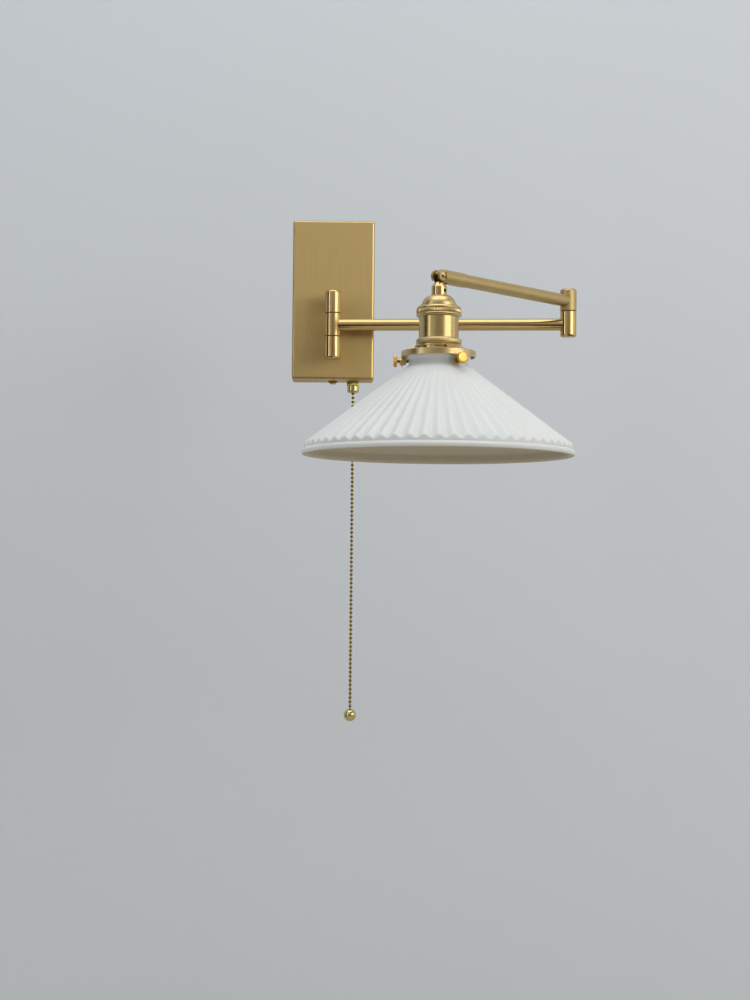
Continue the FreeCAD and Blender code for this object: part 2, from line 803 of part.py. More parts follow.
neck_screw_level = (s.neck_top_depth + cap_depth) / 2
pocket(tongue, "XZ", [(0, -neck_screw_level, s.neck_screw_diameter / 2)])
neck_screw = new_body("neck_screw", pivot_place, arm_2_turn)
neck_screw_radius = s.neck_screw_diameter / 2 - s.thread_clearance
screw_foot = nipple_radius + s.thread_clearance
screw_span = neck_radius - s.neck_screw_sink - screw_foot
pad(neck_screw, "XZ", [(0, -neck_screw_level, neck_screw_radius)], screw_span, lift=-screw_foot, flip=True)

# Lampholder: levels below the tilt pivot, from the cap's top down
dome_depth = cap_depth + s.dome_height
ring_depth = dome_depth + s.bead_height
shell_depth = ring_depth + s.upper_ring_height
lower_ring_depth = shell_depth + s.shell_height
gallery_depth = lower_ring_depth + s.lower_ring_height
skirt_depth = gallery_depth + s.skirt_length
shell_radius = s.shell_diameter / 2
shell_bore = shell_radius - s.shell_wall
skirt_radius = s.skirt_diameter / 2
skirt_bore = skirt_radius - s.shell_wall
dome_edge = s.dome_diameter / 2
bead_radius = s.bead_diameter / 2
cap_hole = nipple_radius + s.thread_clearance
cap_foot = shell_depth - s.ring_bevel
cap_wall = s.shell_wall

nipple = new_body("socket_nipple", pivot_place)
nipple_foot = cap_depth + s.nipple_reach
turn(nipple, "XZ", rectangle(
    s.nipple_bore / 2,
    nipple_radius,
    -nipple_foot,
    -(nipple_top + s.thread_clearance),
))
socket_cap = new_body("socket_cap", pivot_place)
turn(socket_cap, "XZ", [
    (cap_hole, -cap_depth),
    (neck_radius, -cap_depth),
    (dome_edge, -dome_depth, -s.dome_radius),
    (bead_radius, -dome_depth),
    (bead_radius, -ring_depth),
    (shell_bore - s.thread_clearance, -ring_depth),
    (shell_bore - s.thread_clearance, -cap_foot),
    (shell_bore - s.thread_clearance - cap_wall, -cap_foot),
    (shell_bore - s.thread_clearance - cap_wall, -(ring_depth + cap_wall)),
    (dome_edge - cap_wall, -(dome_depth + cap_wall)),
    (neck_radius, -(cap_depth + cap_wall), s.dome_radius - cap_wall),
    (cap_hole, -(cap_depth + cap_wall)),
])


def knurled_ring(label, radius, bore, top, height, shoulder):
    ring = new_body(label, pivot_place)
    turn(ring, "XZ", [
        (bore, -top),
        (radius - s.ring_bevel, -top),
        (radius, -(top + shoulder)),
        (radius, -(top + height - s.ring_bevel)),
        (radius - s.ring_bevel, -(top + height)),
        (bore, -(top + height)),
    ])


ring_bore = shell_radius + s.thread_clearance
upper_radius = s.upper_ring_diameter / 2
knurled_ring("upper_ring", upper_radius, ring_bore, ring_depth, s.upper_ring_height, s.ring_shoulder)
socket_shell = new_body("socket_shell", pivot_place)
turn(socket_shell, "XZ", [
    (shell_bore, -ring_depth),
    (shell_radius, -ring_depth),
    (shell_radius, -lower_ring_depth),
    (skirt_radius, -lower_ring_depth),
    (skirt_radius, -skirt_depth),
    (skirt_bore, -skirt_depth),
    (skirt_bore, -(lower_ring_depth - cap_wall)),
    (shell_bore, -(lower_ring_depth - cap_wall)),
])
skirt_fit = skirt_radius + s.thread_clearance
lower_radius = s.lower_ring_diameter / 2
knurled_ring("lower_ring", lower_radius, skirt_fit, lower_ring_depth, s.lower_ring_height, s.ring_bevel)

# Porcelain insulator with the threaded contact shell and the centre contact
insulator_foot = lower_ring_depth - cap_wall
contact_radius = s.contact_shell_diameter / 2
seat_depth = cap_foot + s.insulator_floor
insulator_radius = shell_bore - s.thread_clearance
insulator = new_body("socket_insulator", pivot_place)
turn(insulator, "XZ", [
    (0, -cap_foot),
    (insulator_radius, -cap_foot),
    (insulator_radius, -insulator_foot),
    (contact_radius + s.thread_clearance, -insulator_foot),
    (contact_radius + s.thread_clearance, -seat_depth),
    (0, -seat_depth),
])
contact_shell = new_body("contact_shell", pivot_place)
contact_bore = contact_radius - s.contact_shell_wall
turn(contact_shell, "XZ", rectangle(contact_bore, contact_radius, -skirt_depth, -seat_depth))
contact_low = seat_depth + s.contact_rise
centre_contact = new_body("centre_contact", pivot_place)
half_contact = s.contact_width / 2
pad(centre_contact, "XZ", [[
    (-half_contact, -seat_depth),
    (half_contact, -seat_depth),
    (half_contact, -contact_low),
    (-half_contact, -contact_low),
    (-half_contact, -(contact_low - s.contact_thickness)),
    (half_contact - s.contact_thickness, -(contact_low - s.contact_thickness)),
    (half_contact - s.contact_thickness, -(seat_depth + s.contact_thickness)),
    (-half_contact, -(seat_depth + s.contact_thickness)),
]], s.contact_width, both=True)

# Bulb: a small opal globe on a screw cap
tip_depth = contact_low
cap_top = tip_depth + s.bulb_tip_height
glass_top = cap_top + s.bulb_cap_length
bulb_cap = new_body("bulb_cap", pivot_place)
turn(bulb_cap, "XZ", [
    (0, -tip_depth),
    (s.bulb_tip_diameter / 2, -tip_depth),
    (s.bulb_tip_diameter / 2 + s.bulb_tip_height, -cap_top),
    (s.bulb_cap_diameter / 2, -cap_top),
    (s.bulb_cap_diameter / 2, -glass_top),
    (0, -glass_top),
])
bulb_radius = s.bulb_diameter / 2
glass_neck = s.bulb_neck_diameter / 2
glass_end = glass_top + s.bulb_length
globe_centre = glass_end - bulb_radius
globe_rise = Size(
    math.sqrt(bulb_radius.value ** 2 - glass_neck.value ** 2),
    f"sqrt(({bulb_radius.text})^2 - ({glass_neck.text})^2)",
)
glass_bore = glass_neck - s.bulb_wall
inner_globe = bulb_radius - s.bulb_wall
inner_rise = Size(
    math.sqrt(inner_globe.value ** 2 - glass_bore.value ** 2),
    f"sqrt(({inner_globe.text})^2 - ({glass_bore.text})^2)",
)
bulb_glass = new_body("bulb_glass", pivot_place)
turn(bulb_glass, "XZ", [
    (0, -glass_end),
    (bulb_radius, -globe_centre, bulb_radius),
    (glass_neck, globe_rise - globe_centre, bulb_radius),
    (glass_neck, -glass_top),
    (glass_bore, -glass_top),
    (glass_bore, inner_rise - globe_centre),
    (inner_globe, -globe_centre, -inner_globe),
    (0, s.bulb_wall - glass_end, -inner_globe),
])

# Gallery: a spun collar with three sloped arms, an outer band and three drilled lugs
band_radius = s.band_diameter / 2
band_depth = gallery_depth + s.gallery_drop
band_bore = band_radius - s.gallery_thickness
collar_radius = s.gallery_collar_diameter / 2
thumb_depth = band_depth + s.thumb_drop
gallery = new_body("gallery", pivot_place)
turn(gallery, "XZ", [
    (skirt_fit, -gallery_depth),
    (collar_radius, -gallery_depth),
    (band_radius, -band_depth),
    (band_radius, -(band_depth + s.band_height)),
    (band_bore, -(band_depth + s.band_height)),
    (band_bore, -(band_depth + s.gallery_thickness)),
    (collar_radius, -(gallery_depth + s.gallery_thickness)),
    (skirt_fit, -(gallery_depth + s.gallery_thickness)),
])
window_in = collar_radius + s.window_margin
window_out = band_bore - s.window_margin
window_cos = cosine(s.window_half_angle)
window_sin = sine(s.window_half_angle)
window = pocket(gallery, "XY", [[
    (window_in * window_cos, -window_in * window_sin, -window_in),
    (window_out * window_cos, -window_out * window_sin),
    (window_out, 0, window_out),
    (window_out * window_cos, window_out * window_sin, window_out),
    (window_in * window_cos, window_in * window_sin),
    (window_in, 0, -window_in),
]])
repeat_round(gallery, [window], 3)
lug_low = thumb_depth + s.lug_tail
half_lug = s.lug_width / 2
lug_outline = rectangle(-half_lug, half_lug, -lug_low, -(band_depth + s.gallery_thickness))
lug = pad(gallery, "YZ", [lug_outline], s.gallery_thickness, lift=-band_radius)
boss_face = band_radius + s.boss_stand
boss_outline = (0, -thumb_depth, s.boss_diameter / 2)
boss = pad(gallery, "YZ", [boss_outline], s.boss_reach, lift=-boss_face)
thumb_radius = s.thumb_shaft_diameter / 2
thumb_hole = pocket(gallery, "YZ", [(0, -thumb_depth, thumb_radius + s.thread_clearance)])
repeat_round(gallery, [lug, boss, thumb_hole], 3)
gallery_nut = new_body("gallery_nut", pivot_place)
nut_top = gallery_depth + s.gallery_thickness
gallery_nut_radius = s.gallery_nut_diameter / 2
turn(gallery_nut, "XZ", rectangle(
    skirt_fit,
    gallery_nut_radius,
    -(nut_top + s.gallery_nut_height),
    -nut_top,
))

# Thumb screws: each runs in to just short of the shade's neck, under its lip
shade_neck = s.shade_neck_diameter / 2
thumb_place = (pivot_x, pivot_y, arm_2_level - thumb_depth)
thumb_head = s.thumb_head_diameter / 2
head_face = boss_face + s.thumb_head_gap
for label, yaw in (("thumb_screw_left", 180), ("thumb_screw_front", -60), ("thumb_screw_back", 60)):
    thumb_screw = new_body(label, thumb_place, yaw)
    turn(thumb_screw, "XY", [
        (shade_neck + s.thumb_tip_gap, 0),
        (shade_neck + s.thumb_tip_gap, thumb_radius),
        (head_face, thumb_radius),
        (head_face, thumb_head - s.knuckle_edge),
        (head_face + s.knuckle_edge, thumb_head),
        (head_face + s.thumb_head_thickness - s.knuckle_edge, thumb_head),
        (head_face + s.thumb_head_thickness, thumb_head - s.knuckle_edge),
        (head_face + s.thumb_head_thickness, 0),
    ], "H_Axis")


# Shade: a pleated porcelain cone between its lipped neck and a plain beaded rim
def pleated_ring(crest, share, depth):
    """A closed ring of arcs over crests and through valleys, which lie a share of the crest inside."""
    valley = crest * (1 - share)
    middle = (crest + valley) / 2
    quarter = math.pi / 2 / pleats
    first = math.radians(-90 - s.pleat_phase.value) - quarter
    edges = []
    for i in range(2 * pleats):
        peak = valley if i % 2 else crest
        low = first + 2 * i * quarter
        points = []
        for reach, angle in ((middle, low), (peak, low + quarter), (middle, low + 2 * quarter)):
            points.append(Vector(reach * math.cos(angle), reach * math.sin(angle), -depth))
        edges.append(Part.Arc(*points).toShape())
    return Part.Wire(edges)


def turned_shape(corners):
    """A solid of revolution about the upright axis from (radius, depth) corners."""
    points = [Vector(reach, 0, -depth) for reach, depth in corners]
    face = Part.Face(Part.makePolygon(points + points[:1]))
    return face.revolve(Vector(0, 0, 0), Vector(0, 0, 1), 360)


pleats = int(round(s.pleat_count.value))
rise = math.tan(math.radians(s.shade_slope.value))
rim_radius = s.shade_diameter.value / 2
neck_reach = shade_neck.value
collar_foot = (thumb_depth - thumb_radius - s.shade_collar_gap).value
collar_top = collar_foot - s.shade_collar_height.value
cone_top = collar_foot + s.shade_neck_height.value
pleat_ratio = s.pleat_depth.value / (rim_radius + s.pleat_depth.value)
arch_depth = cone_top + (rim_radius - neck_reach) * rise
cusp_depth = cone_top + (rim_radius / (1 - pleat_ratio) - neck_reach) * rise
lip_top = cusp_depth + s.shade_band_height.value
lip_foot = lip_top + s.shade_lip_height.value
outer_rim = rim_radius + s.shade_lip_reach.value
inner_rim = rim_radius - s.shade_rim_wall.value
shade_bore = s.shade_neck_bore.value / 2
wall = s.shade_wall.value
lip_edge = s.shade_lip_edge.value
cone_crest = rim_radius + s.pleat_depth.value * 1.2
cone_foot = cone_top + (cone_crest - neck_reach) * rise
neck_ring = pleated_ring(neck_reach, pleat_ratio * s.pleat_fade.value, cone_top)
rim_ring = pleated_ring(cone_crest, pleat_ratio, cone_foot)
cone = Part.makeLoft([neck_ring, rim_ring], True, True)
cone = cone.common(Part.makeCylinder(rim_radius, cone_foot + wall, Vector(0, 0, -cone_foot)))
neck = turned_shape([
    (0, collar_top),
    (s.shade_collar_diameter.value / 2, collar_top),
    (s.shade_collar_diameter.value / 2, collar_foot),
    (neck_reach, collar_foot),
    (neck_reach * (1 - pleat_ratio), cone_top + wall),
    (0, cone_top + wall),
])
rim = turned_shape([
    (inner_rim - wall, arch_depth + wall),
    (rim_radius, cusp_depth),
    (rim_radius, lip_top),
    (outer_rim, lip_foot - lip_edge),
    (outer_rim - lip_edge, lip_foot),
    (inner_rim - wall, lip_foot),
])


def inner_depth(reach):
    """Depth at which the inside of the cone reaches a radius."""
    return cone_top + ((reach + wall) / (1 - pleat_ratio) - neck_reach) * rise


hollow = turned_shape([
    (0, collar_top - wall),
    (shade_bore, collar_top - wall),
    (shade_bore, inner_depth(shade_bore)),
    (inner_rim, inner_depth(inner_rim)),
    (inner_rim, lip_foot - s.shade_lip_flare.value),
    (outer_rim - 2 * lip_edge, lip_foot),
    (outer_rim - 2 * lip_edge, lip_foot + wall),
    (0, lip_foot + wall),
])
shade = doc.addObject("Part::Feature", "shade")
shade.Label = "shade"
shade.Shape = cone.fuse([neck, rim]).cut(hollow).removeSplitter()
shade.Placement = Placement(Vector(*(size.value for size in pivot_place)), Rotation())
nodes.append(shade)

# Pull switch in the box: a body with a threaded bushing, a knurled nut and a bell below the box
box_floor = half_height - s.box_wall
switch_place = (switch_x, -s.switch_setback, 0)
bell_top = half_height + s.switch_nut_height
bell_foot = bell_top + s.switch_bell_height
bushing_end = bell_top + s.switch_bell_height / 2
switch_bore = s.switch_bore / 2
switch = new_body("switch_body", switch_place)
half_switch = s.switch_width / 2
half_thick = s.switch_thickness / 2
switch_case = rectangle(-half_switch, half_switch, -half_thick, half_thick)
pad(switch, "XY", [switch_case], s.switch_height, lift=-box_floor)
bushing_length = bushing_end - box_floor
pad(switch, "XY", [(0, 0, switch_radius)], bushing_length, lift=-box_floor, flip=True)
chain_room = bushing_length + s.chain_tail
pocket(switch, "XY", [(0, 0, switch_bore)], chain_room, lift=-bushing_end, flip=True)
bushing_fit = switch_radius + s.thread_clearance
switch_nut_radius = s.switch_nut_diameter / 2
switch_nut = new_body("switch_nut", switch_place)
turn(switch_nut, "XZ", rectangle(bushing_fit, switch_nut_radius, -bell_top, -half_height))
bell_radius = s.switch_bell_diameter / 2
bell = new_body("switch_bell", switch_place)
turn(bell, "XZ", [
    (bushing_fit, -bell_top),
    (bell_radius, -bell_top),
    (bell_radius, -(bell_foot - s.knuckle_round)),
    (bell_radius - s.knuckle_round, -bell_foot, -s.knuckle_round),
    (switch_bore, -bell_foot),
    (switch_bore, -(bushing_end + s.thread_clearance)),
    (bushing_fit, -(bushing_end + s.thread_clearance)),
])

# Bead chain: hollow beads on short links, from inside the bushing down into the ball
ball_radius = s.ball_diameter / 2
ball_depth = bell_foot + s.chain_length
chain_top = (bell_foot - s.chain_tail).value
chain_end = (ball_depth - ball_radius + s.ball_socket_depth).value
bead = s.chain_bead_diameter.value / 2
link = s.chain_link_diameter.value / 2
pitch = s.chain_pitch.value
half_bead = math.sqrt(bead * bead - link * link)
bead_count = int((chain_end - chain_top - 2 * bead) / pitch) + 1
outline = []
for i in range(bead_count):
    middle = -(chain_end - bead) + (bead_count - 1 - i) * pitch
    start = Vector(link, 0, middle + half_bead)
    end = Vector(link, 0, middle - half_bead)
    if i == 0:
        last = Vector(0, 0, middle + half_bead)
        first_point = last
    outline.append(Part.LineSegment(last, start).toShape())
    outline.append(Part.Arc(start, Vector(bead, 0, middle), end).toShape())
    last = end
foot_point = Vector(0, 0, last.z)
outline.append(Part.LineSegment(last, foot_point).toShape())
outline.append(Part.LineSegment(foot_point, first_point).toShape())
chain = doc.addObject("Part::Feature", "pull_chain")
chain.Label = "pull_chain"
chain.Shape = Part.Face(Part.Wire(outline)).revolve(Vector(0, 0, 0), Vector(0, 0, 1), 360)
chain.Placement = Placement(Vector(*(as_size(size).value for size in switch_place)), Rotation())
nodes.append(chain)
ball = new_body("pull_ball", (switch_x, -s.switch_setback, -ball_depth))
socket_radius = s.chain_bead_diameter / 2 + s.screw_clearance
socket_foot = ball_radius - s.ball_socket_depth - s.screw_clearance
turn(ball, "XZ", [
    (0, -ball_radius),
    (ball_radius, 0, ball_radius),
    (0, ball_radius, ball_radius),
])
pocket(ball, "XY", [(0, 0, socket_radius)], lift=socket_foot, flip=True)

# Terminal block on the bracket, with its clamping screws, and the bracket's earth screw
terminal_place = (0, -s.bracket_thickness, s.terminal_level)
terminal = new_body("terminal_block", terminal_place)
half_block = s.terminal_width / 2
half_tall = s.terminal_height / 2
block_face = rectangle(-half_block, half_block, -half_tall, half_tall)
pad(terminal, "XZ", [block_face], s.terminal_thickness)
lead_y = s.bracket_thickness - s.lead_setback
bores = [(way, lead_y, s.terminal_bore / 2) for way in (-s.terminal_pitch, 0, s.terminal_pitch)]
pocket(terminal, "XY", bores, half_tall / 2, lift=-half_tall, flip=True)
terminal_screws = new_body("terminal_screws", terminal_place)
terminal_screws.AllowCompound = True
clamp = s.terminal_screw_diameter / 2
heads = [(way, half_tall / 2, clamp) for way in (-s.terminal_pitch, 0, s.terminal_pitch)]
pad(terminal_screws, "XZ", heads, s.terminal_screw_height, lift=s.terminal_thickness)
earth_place = (0, -s.bracket_thickness, s.earth_screw_level)
earth_screw = new_body("earth_screw", earth_place)
pad(earth_screw, "XZ", [(0, 0, s.earth_screw_diameter / 2)], s.earth_screw_height)

# Leads: the supply runs down the box, out through the lower post and along both arms
bore_end = s.terminal_level - half_tall / 2
lead_drop = -s.lead_setback
hinge_low = -(post_level + s.arm_drop)
lead("supply_lead", [
    (0, lead_drop, bore_end),
    (0, lead_drop, hinge_low),
    (0, hinge_y, hinge_low),
    (0, hinge_y, -(fixed_foot + s.arm_drop)),
], (0, 0, 0))
switch_top = s.switch_height - box_floor
turn_level = s.terminal_level - s.terminal_height
lead("switch_lead", [
    (s.terminal_pitch, lead_drop, bore_end),
    (s.terminal_pitch, lead_drop, turn_level),
    (switch_x, lead_drop, turn_level),
    (switch_x, lead_drop, switch_top),
], (0, 0, 0))
lead("arm_1_lead", [
    (0, 0, -half_knuckle * 0.8),
    (0, 0, 0),
    (s.arm_1_length, 0, 0),
    (s.arm_1_length, 0, half_knuckle * 0.8),
], hinge_place, arm_1_turn)
lead("arm_2_lead", [
    (0, 0, -half_knuckle * 0.8),
    (0, 0, 0),
    (s.arm_2_length - s.fork_slot_depth - s.lead_diameter, 0, 0),
], upper_elbow_place, arm_2_turn)
lead("head_lead", [(0, 0, -(nipple_top + s.lead_diameter)), (0, 0, -cap_foot)], pivot_place)

doc.recompute()
bad = []
for item in doc.Objects:
    if "Invalid" in item.State or "Error" in item.State:
        bad.append(f"{item.Name} {item.State}")
for node in nodes:
    if node.Shape.isNull() or not node.Shape.isValid() or not node.Shape.Solids:
        bad.append(f"{node.Label} has no valid shape")
if bad:
    raise RuntimeError("; ".join(bad))

os.makedirs("parts", exist_ok=True)
for node in nodes:
    node.Shape.exportStep(f"parts/{node.Label}.step")
    box = node.Shape.BoundBox
    spans = ", ".join(f"{size:.2f}" for size in (box.XLength, box.YLength, box.ZLength))
    print(f"{node.Label}: {len(node.Shape.Solids)} solid(s), {spans} mm, {node.Shape.Volume:.1f} mm3")
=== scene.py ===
import math

import bpy
from mathutils import Matrix, Vector


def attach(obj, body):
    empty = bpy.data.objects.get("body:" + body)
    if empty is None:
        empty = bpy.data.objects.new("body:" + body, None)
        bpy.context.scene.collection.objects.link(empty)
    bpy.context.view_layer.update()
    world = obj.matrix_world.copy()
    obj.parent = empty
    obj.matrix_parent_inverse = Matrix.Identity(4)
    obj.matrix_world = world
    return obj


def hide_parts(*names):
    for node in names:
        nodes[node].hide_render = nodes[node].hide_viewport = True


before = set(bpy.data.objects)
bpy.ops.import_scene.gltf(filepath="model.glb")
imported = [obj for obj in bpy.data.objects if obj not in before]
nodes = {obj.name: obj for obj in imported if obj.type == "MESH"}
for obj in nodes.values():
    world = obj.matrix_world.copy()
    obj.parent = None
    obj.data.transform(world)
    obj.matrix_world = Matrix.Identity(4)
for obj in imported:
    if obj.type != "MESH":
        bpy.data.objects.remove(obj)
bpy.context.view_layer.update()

# Wall bracket: a strip of cold rolled steel, bent at both ends and then zinc plated.
# It is screwed to the wall through two holes, and the box hangs on its two tabs.
MM = 0.001


def linear(hex_value):
    """An sRGB hex value as a linear colour."""
    parts = [int(hex_value[i:i + 2], 16) / 255 for i in (1, 3, 5)]
    return (*[p / 12.92 if p <= 0.04045 else ((p + 0.055) / 1.055) ** 2.4 for p in parts], 1.0)


def add_node(tree, kind, inputs=None, **settings):
    """Adds a shader node with its settings, and sets or links its inputs."""
    node = tree.nodes.new(kind)
    for name, value in settings.items():
        setattr(node, name, value)
    for name, value in (inputs or {}).items():
        if isinstance(value, bpy.types.NodeSocket):
            tree.links.new(value, node.inputs[name])
        else:
            node.inputs[name].default_value = value
    return node


def new_material(name):
    """An empty material, its node tree and a place to hang patterns on."""
    material = bpy.data.materials.new(name)
    material.use_nodes = True
    tree = material.node_tree
    tree.nodes.clear()
    return material, tree, add_node(tree, "ShaderNodeTexCoord").outputs["Object"]


def dress(material, *names):
    """Gives CAD nodes a material in place of their plain colour."""
    for name in names:
        slots = nodes[name].data.materials
        slots.clear()
        slots.append(material)


# Zinc plated steel: a dull grey with a faint spangle about 3 mm across.
zinc_plated_steel, tree, place = new_material("zinc_plated_steel")
spangle = add_node(tree, "ShaderNodeTexVoronoi", {"Vector": place, "Scale": 1 / (3 * MM)})
tone = add_node(tree, "ShaderNodeMix", {
    0: spangle.outputs["Distance"], 6: linear("#B5B6B3"), 7: linear("#9A9B99")}, data_type="RGBA")
sheen = add_node(tree, "ShaderNodeMapRange", {
    "Value": spangle.outputs["Distance"], "To Min": 0.34, "To Max": 0.5})
shader = add_node(tree, "ShaderNodeBsdfPrincipled", {
    "Base Color": tone.outputs[2], "Metallic": 1.0, "Roughness": sheen.outputs[0]})
add_node(tree, "ShaderNodeOutputMaterial", {"Surface": shader.outputs[0]})
dress(zinc_plated_steel, "wall_bracket")

# Wiring inside the box: a moulded terminal block and pull switch, with covered leads between them.
# Their screws are plain brass, and the earth screw goes into the bracket.
# Phenolic moulding: brown-black and slightly shiny, mottled by its filler at about 1.5 mm.
phenolic_moulding, tree, place = new_material("phenolic_moulding")
fleck = add_node(tree, "ShaderNodeTexNoise", {"Vector": place, "Scale": 1 / (1.5 * MM), "Detail": 3})
tone = add_node(tree, "ShaderNodeMix", {
    0: fleck.outputs["Fac"], 6: linear("#1F1B18"), 7: linear("#332C27")}, data_type="RGBA")
shader = add_node(tree, "ShaderNodeBsdfPrincipled", {"Base Color": tone.outputs[2], "Roughness": 0.38})
add_node(tree, "ShaderNodeOutputMaterial", {"Surface": shader.outputs[0]})
dress(phenolic_moulding, "switch_body", "terminal_block")

# Woven cotton over rubber: matt, with the weave drawn at 1.2 mm because 0.4 mm would not show.
cotton_covered_rubber, tree, place = new_material("cotton_covered_rubber")
weave = add_node(tree, "ShaderNodeTexVoronoi", {"Vector": place, "Scale": 1 / (1.2 * MM)})
tone = add_node(tree, "ShaderNodeMix", {
    0: weave.outputs["Distance"], 6: linear("#A88B58"), 7: linear("#7C6238")}, data_type="RGBA")
relief = add_node(tree, "ShaderNodeBump", {
    "Height": weave.outputs["Distance"], "Strength": 0.3, "Distance": 0.2 * MM})
shader = add_node(tree, "ShaderNodeBsdfPrincipled", {
    "Base Color": tone.outputs[2], "Roughness": 0.8, "Normal": relief.outputs[0]})
add_node(tree, "ShaderNodeOutputMaterial", {"Surface": shader.outputs[0]})
dress(cotton_covered_rubber, "supply_lead", "switch_lead")

# Polished brass, lacquered: sharp reflections, dulled here and there by handling.
polished_brass, tree, place = new_material("polished_brass")
smear = add_node(tree, "ShaderNodeTexNoise", {"Vector": place, "Scale": 1 / (14 * MM), "Detail": 4})
tone = add_node(tree, "ShaderNodeMix", {
    0: smear.outputs["Fac"], 6: linear("#BE9E62"), 7: linear("#CAAB70")}, data_type="RGBA")
sheen = add_node(tree, "ShaderNodeMapRange", {
    "Value": smear.outputs["Fac"], "To Min": 0.09, "To Max": 0.18})
shader = add_node(tree, "ShaderNodeBsdfPrincipled", {
    "Base Color": tone.outputs[2], "Metallic": 1.0, "Roughness": sheen.outputs[0],
    "Coat Weight": 0.6, "Coat Roughness": 0.08})
add_node(tree, "ShaderNodeOutputMaterial", {"Surface": shader.outputs[0]})
dress(polished_brass, "terminal_screws", "earth_screw")

# Wall box: a brass cover, folded and soldered, open at the back, with softened outer edges.
# Its faces are brushed upright, and its upright front edges are rubbed smooth.
# Brushed brass: the upright grain spreads the light sideways and hardly up or down.
brushed_brass, tree, place = new_material("brushed_brass")
# The true grain is about 0.1 mm wide, so it is drawn 0.8 mm wide and 70 mm long to show.
stretch = add_node(tree, "ShaderNodeMapping", {
    "Vector": place, "Scale": (1 / (0.8 * MM), 1 / (0.8 * MM), 1 / (70 * MM))})
grain = add_node(tree, "ShaderNodeTexNoise", {
    "Vector": stretch.outputs[0], "Scale": 1.0, "Detail": 4, "Roughness": 0.6})
cloud = add_node(tree, "ShaderNodeTexNoise", {"Vector": place, "Scale": 1 / (45 * MM), "Detail": 2})
tone = add_node(tree, "ShaderNodeMix", {
    0: grain.outputs["Fac"], 6: linear("#B3975F"), 7: linear("#CCB27A")}, data_type="RGBA")
sheen = add_node(tree, "ShaderNodeMapRange", {
    "Value": cloud.outputs["Fac"], "To Min": 0.36, "To Max": 0.44})
ridges = add_node(tree, "ShaderNodeBump", {
    "Height": grain.outputs["Fac"], "Strength": 0.15, "Distance": 0.1 * MM})
# The rubbed edges are the 2.5 mm rounds at the front corners. They begin 38.6 mm to either side of
# the middle and 29 mm in front of the wall, and are fully smooth 1 mm further out.
axes = add_node(tree, "ShaderNodeSeparateXYZ", {0: place})
aside = add_node(tree, "ShaderNodeMath", {0: axes.outputs["X"]}, operation="ABSOLUTE")
corner = add_node(tree, "ShaderNodeMapRange", {
    "Value": aside.outputs[0], "From Min": 38.6 * MM, "From Max": 39.4 * MM})
front = add_node(tree, "ShaderNodeMapRange", {
    "Value": axes.outputs["Y"], "From Min": -29 * MM, "From Max": -30 * MM})
rubbed = add_node(tree, "ShaderNodeMath", {
    0: corner.outputs[0], 1: front.outputs[0]}, operation="MULTIPLY")
sheen = add_node(tree, "ShaderNodeMix", {0: rubbed.outputs[0], 2: sheen.outputs[0], 3: 0.18})
shader = add_node(tree, "ShaderNodeBsdfPrincipled", {
    "Base Color": tone.outputs[2], "Metallic": 1.0, "Roughness": sheen.outputs[0], "Anisotropic": 0.85,
    "Normal": ridges.outputs[0]})
add_node(tree, "ShaderNodeOutputMaterial", {"Surface": shader.outputs[0]})
dress(brushed_brass, "wall_box")

# Box screws: warm brass pan heads over brown fibre washers, one below the box and one on top of it.
# They go through the box into the tabs of the bracket.
# Gilding brass: it holds more copper, so its gold is warmer than the lamp's, and it is softly polished.
gilding_brass, tree, place = new_material("gilding_brass")
smear = add_node(tree, "ShaderNodeTexNoise", {"Vector": place, "Scale": 1 / (3 * MM), "Detail": 3})
tone = add_node(tree, "ShaderNodeMix", {
    0: smear.outputs["Fac"], 6: linear("#D09C46"), 7: linear("#DBAB58")}, data_type="RGBA")
sheen = add_node(tree, "ShaderNodeMapRange", {
    "Value": smear.outputs["Fac"], "To Min": 0.2, "To Max": 0.3})
shader = add_node(tree, "ShaderNodeBsdfPrincipled", {
    "Base Color": tone.outputs[2], "Metallic": 1.0, "Roughness": sheen.outputs[0],
    "Coat Weight": 0.4, "Coat Roughness": 0.15})
add_node(tree, "ShaderNodeOutputMaterial", {"Surface": shader.outputs[0]})
dress(gilding_brass, "box_screws")

# Vulcanised fibre: pressed rag paper, oiled brown and matt, with short flecks.
vulcanised_fibre, tree, place = new_material("vulcanised_fibre")
fleck = add_node(tree, "ShaderNodeTexNoise", {"Vector": place, "Scale": 1 / (0.8 * MM), "Detail": 3})
tone = add_node(tree, "ShaderNodeMix", {
    0: fleck.outputs["Fac"], 6: linear("#5E4824"), 7: linear("#7A6034")}, data_type="RGBA")
shader = add_node(tree, "ShaderNodeBsdfPrincipled", {"Base Color": tone.outputs[2], "Roughness": 0.75})
add_node(tree, "ShaderNodeOutputMaterial", {"Surface": shader.outputs[0]})
dress(vulcanised_fibre, "screw_washers")

# Switch nut and bell: the nut clamps the switch under the box, and the bell guides the chain.
# Both are turned from brass bar, and the nut's edge is straight knurled for the fingers.
SWITCH_X = 20.6
SWITCH_Y = -12
NUT_FOOT = -85
NUT_TOP = -80
NUT_BORE = 4.2
NUT_EDGE = 6.3
NUT_TEETH = 32
NUT_KNURL = 0.45
scene = bpy.context.scene


def new_piece(name, points, faces, materials, body, slot, *stands_for):
    """A mesh piece in the row frame, from points in mm, that rides a body in place of CAD nodes."""
    mesh = bpy.data.meshes.new(name)
    mesh.from_pydata([Vector(p) * MM for p in points], [], faces)
    for material in materials:
        mesh.materials.append(material)
    mesh.polygons.foreach_set("use_smooth", [True] * len(mesh.polygons))
    mesh.set_sharp_from_angle(angle=math.radians(38))
    piece = bpy.data.objects.new(name, mesh)
    scene.collection.objects.link(piece)
    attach(piece, body)
    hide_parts(*stands_for)
    return piece


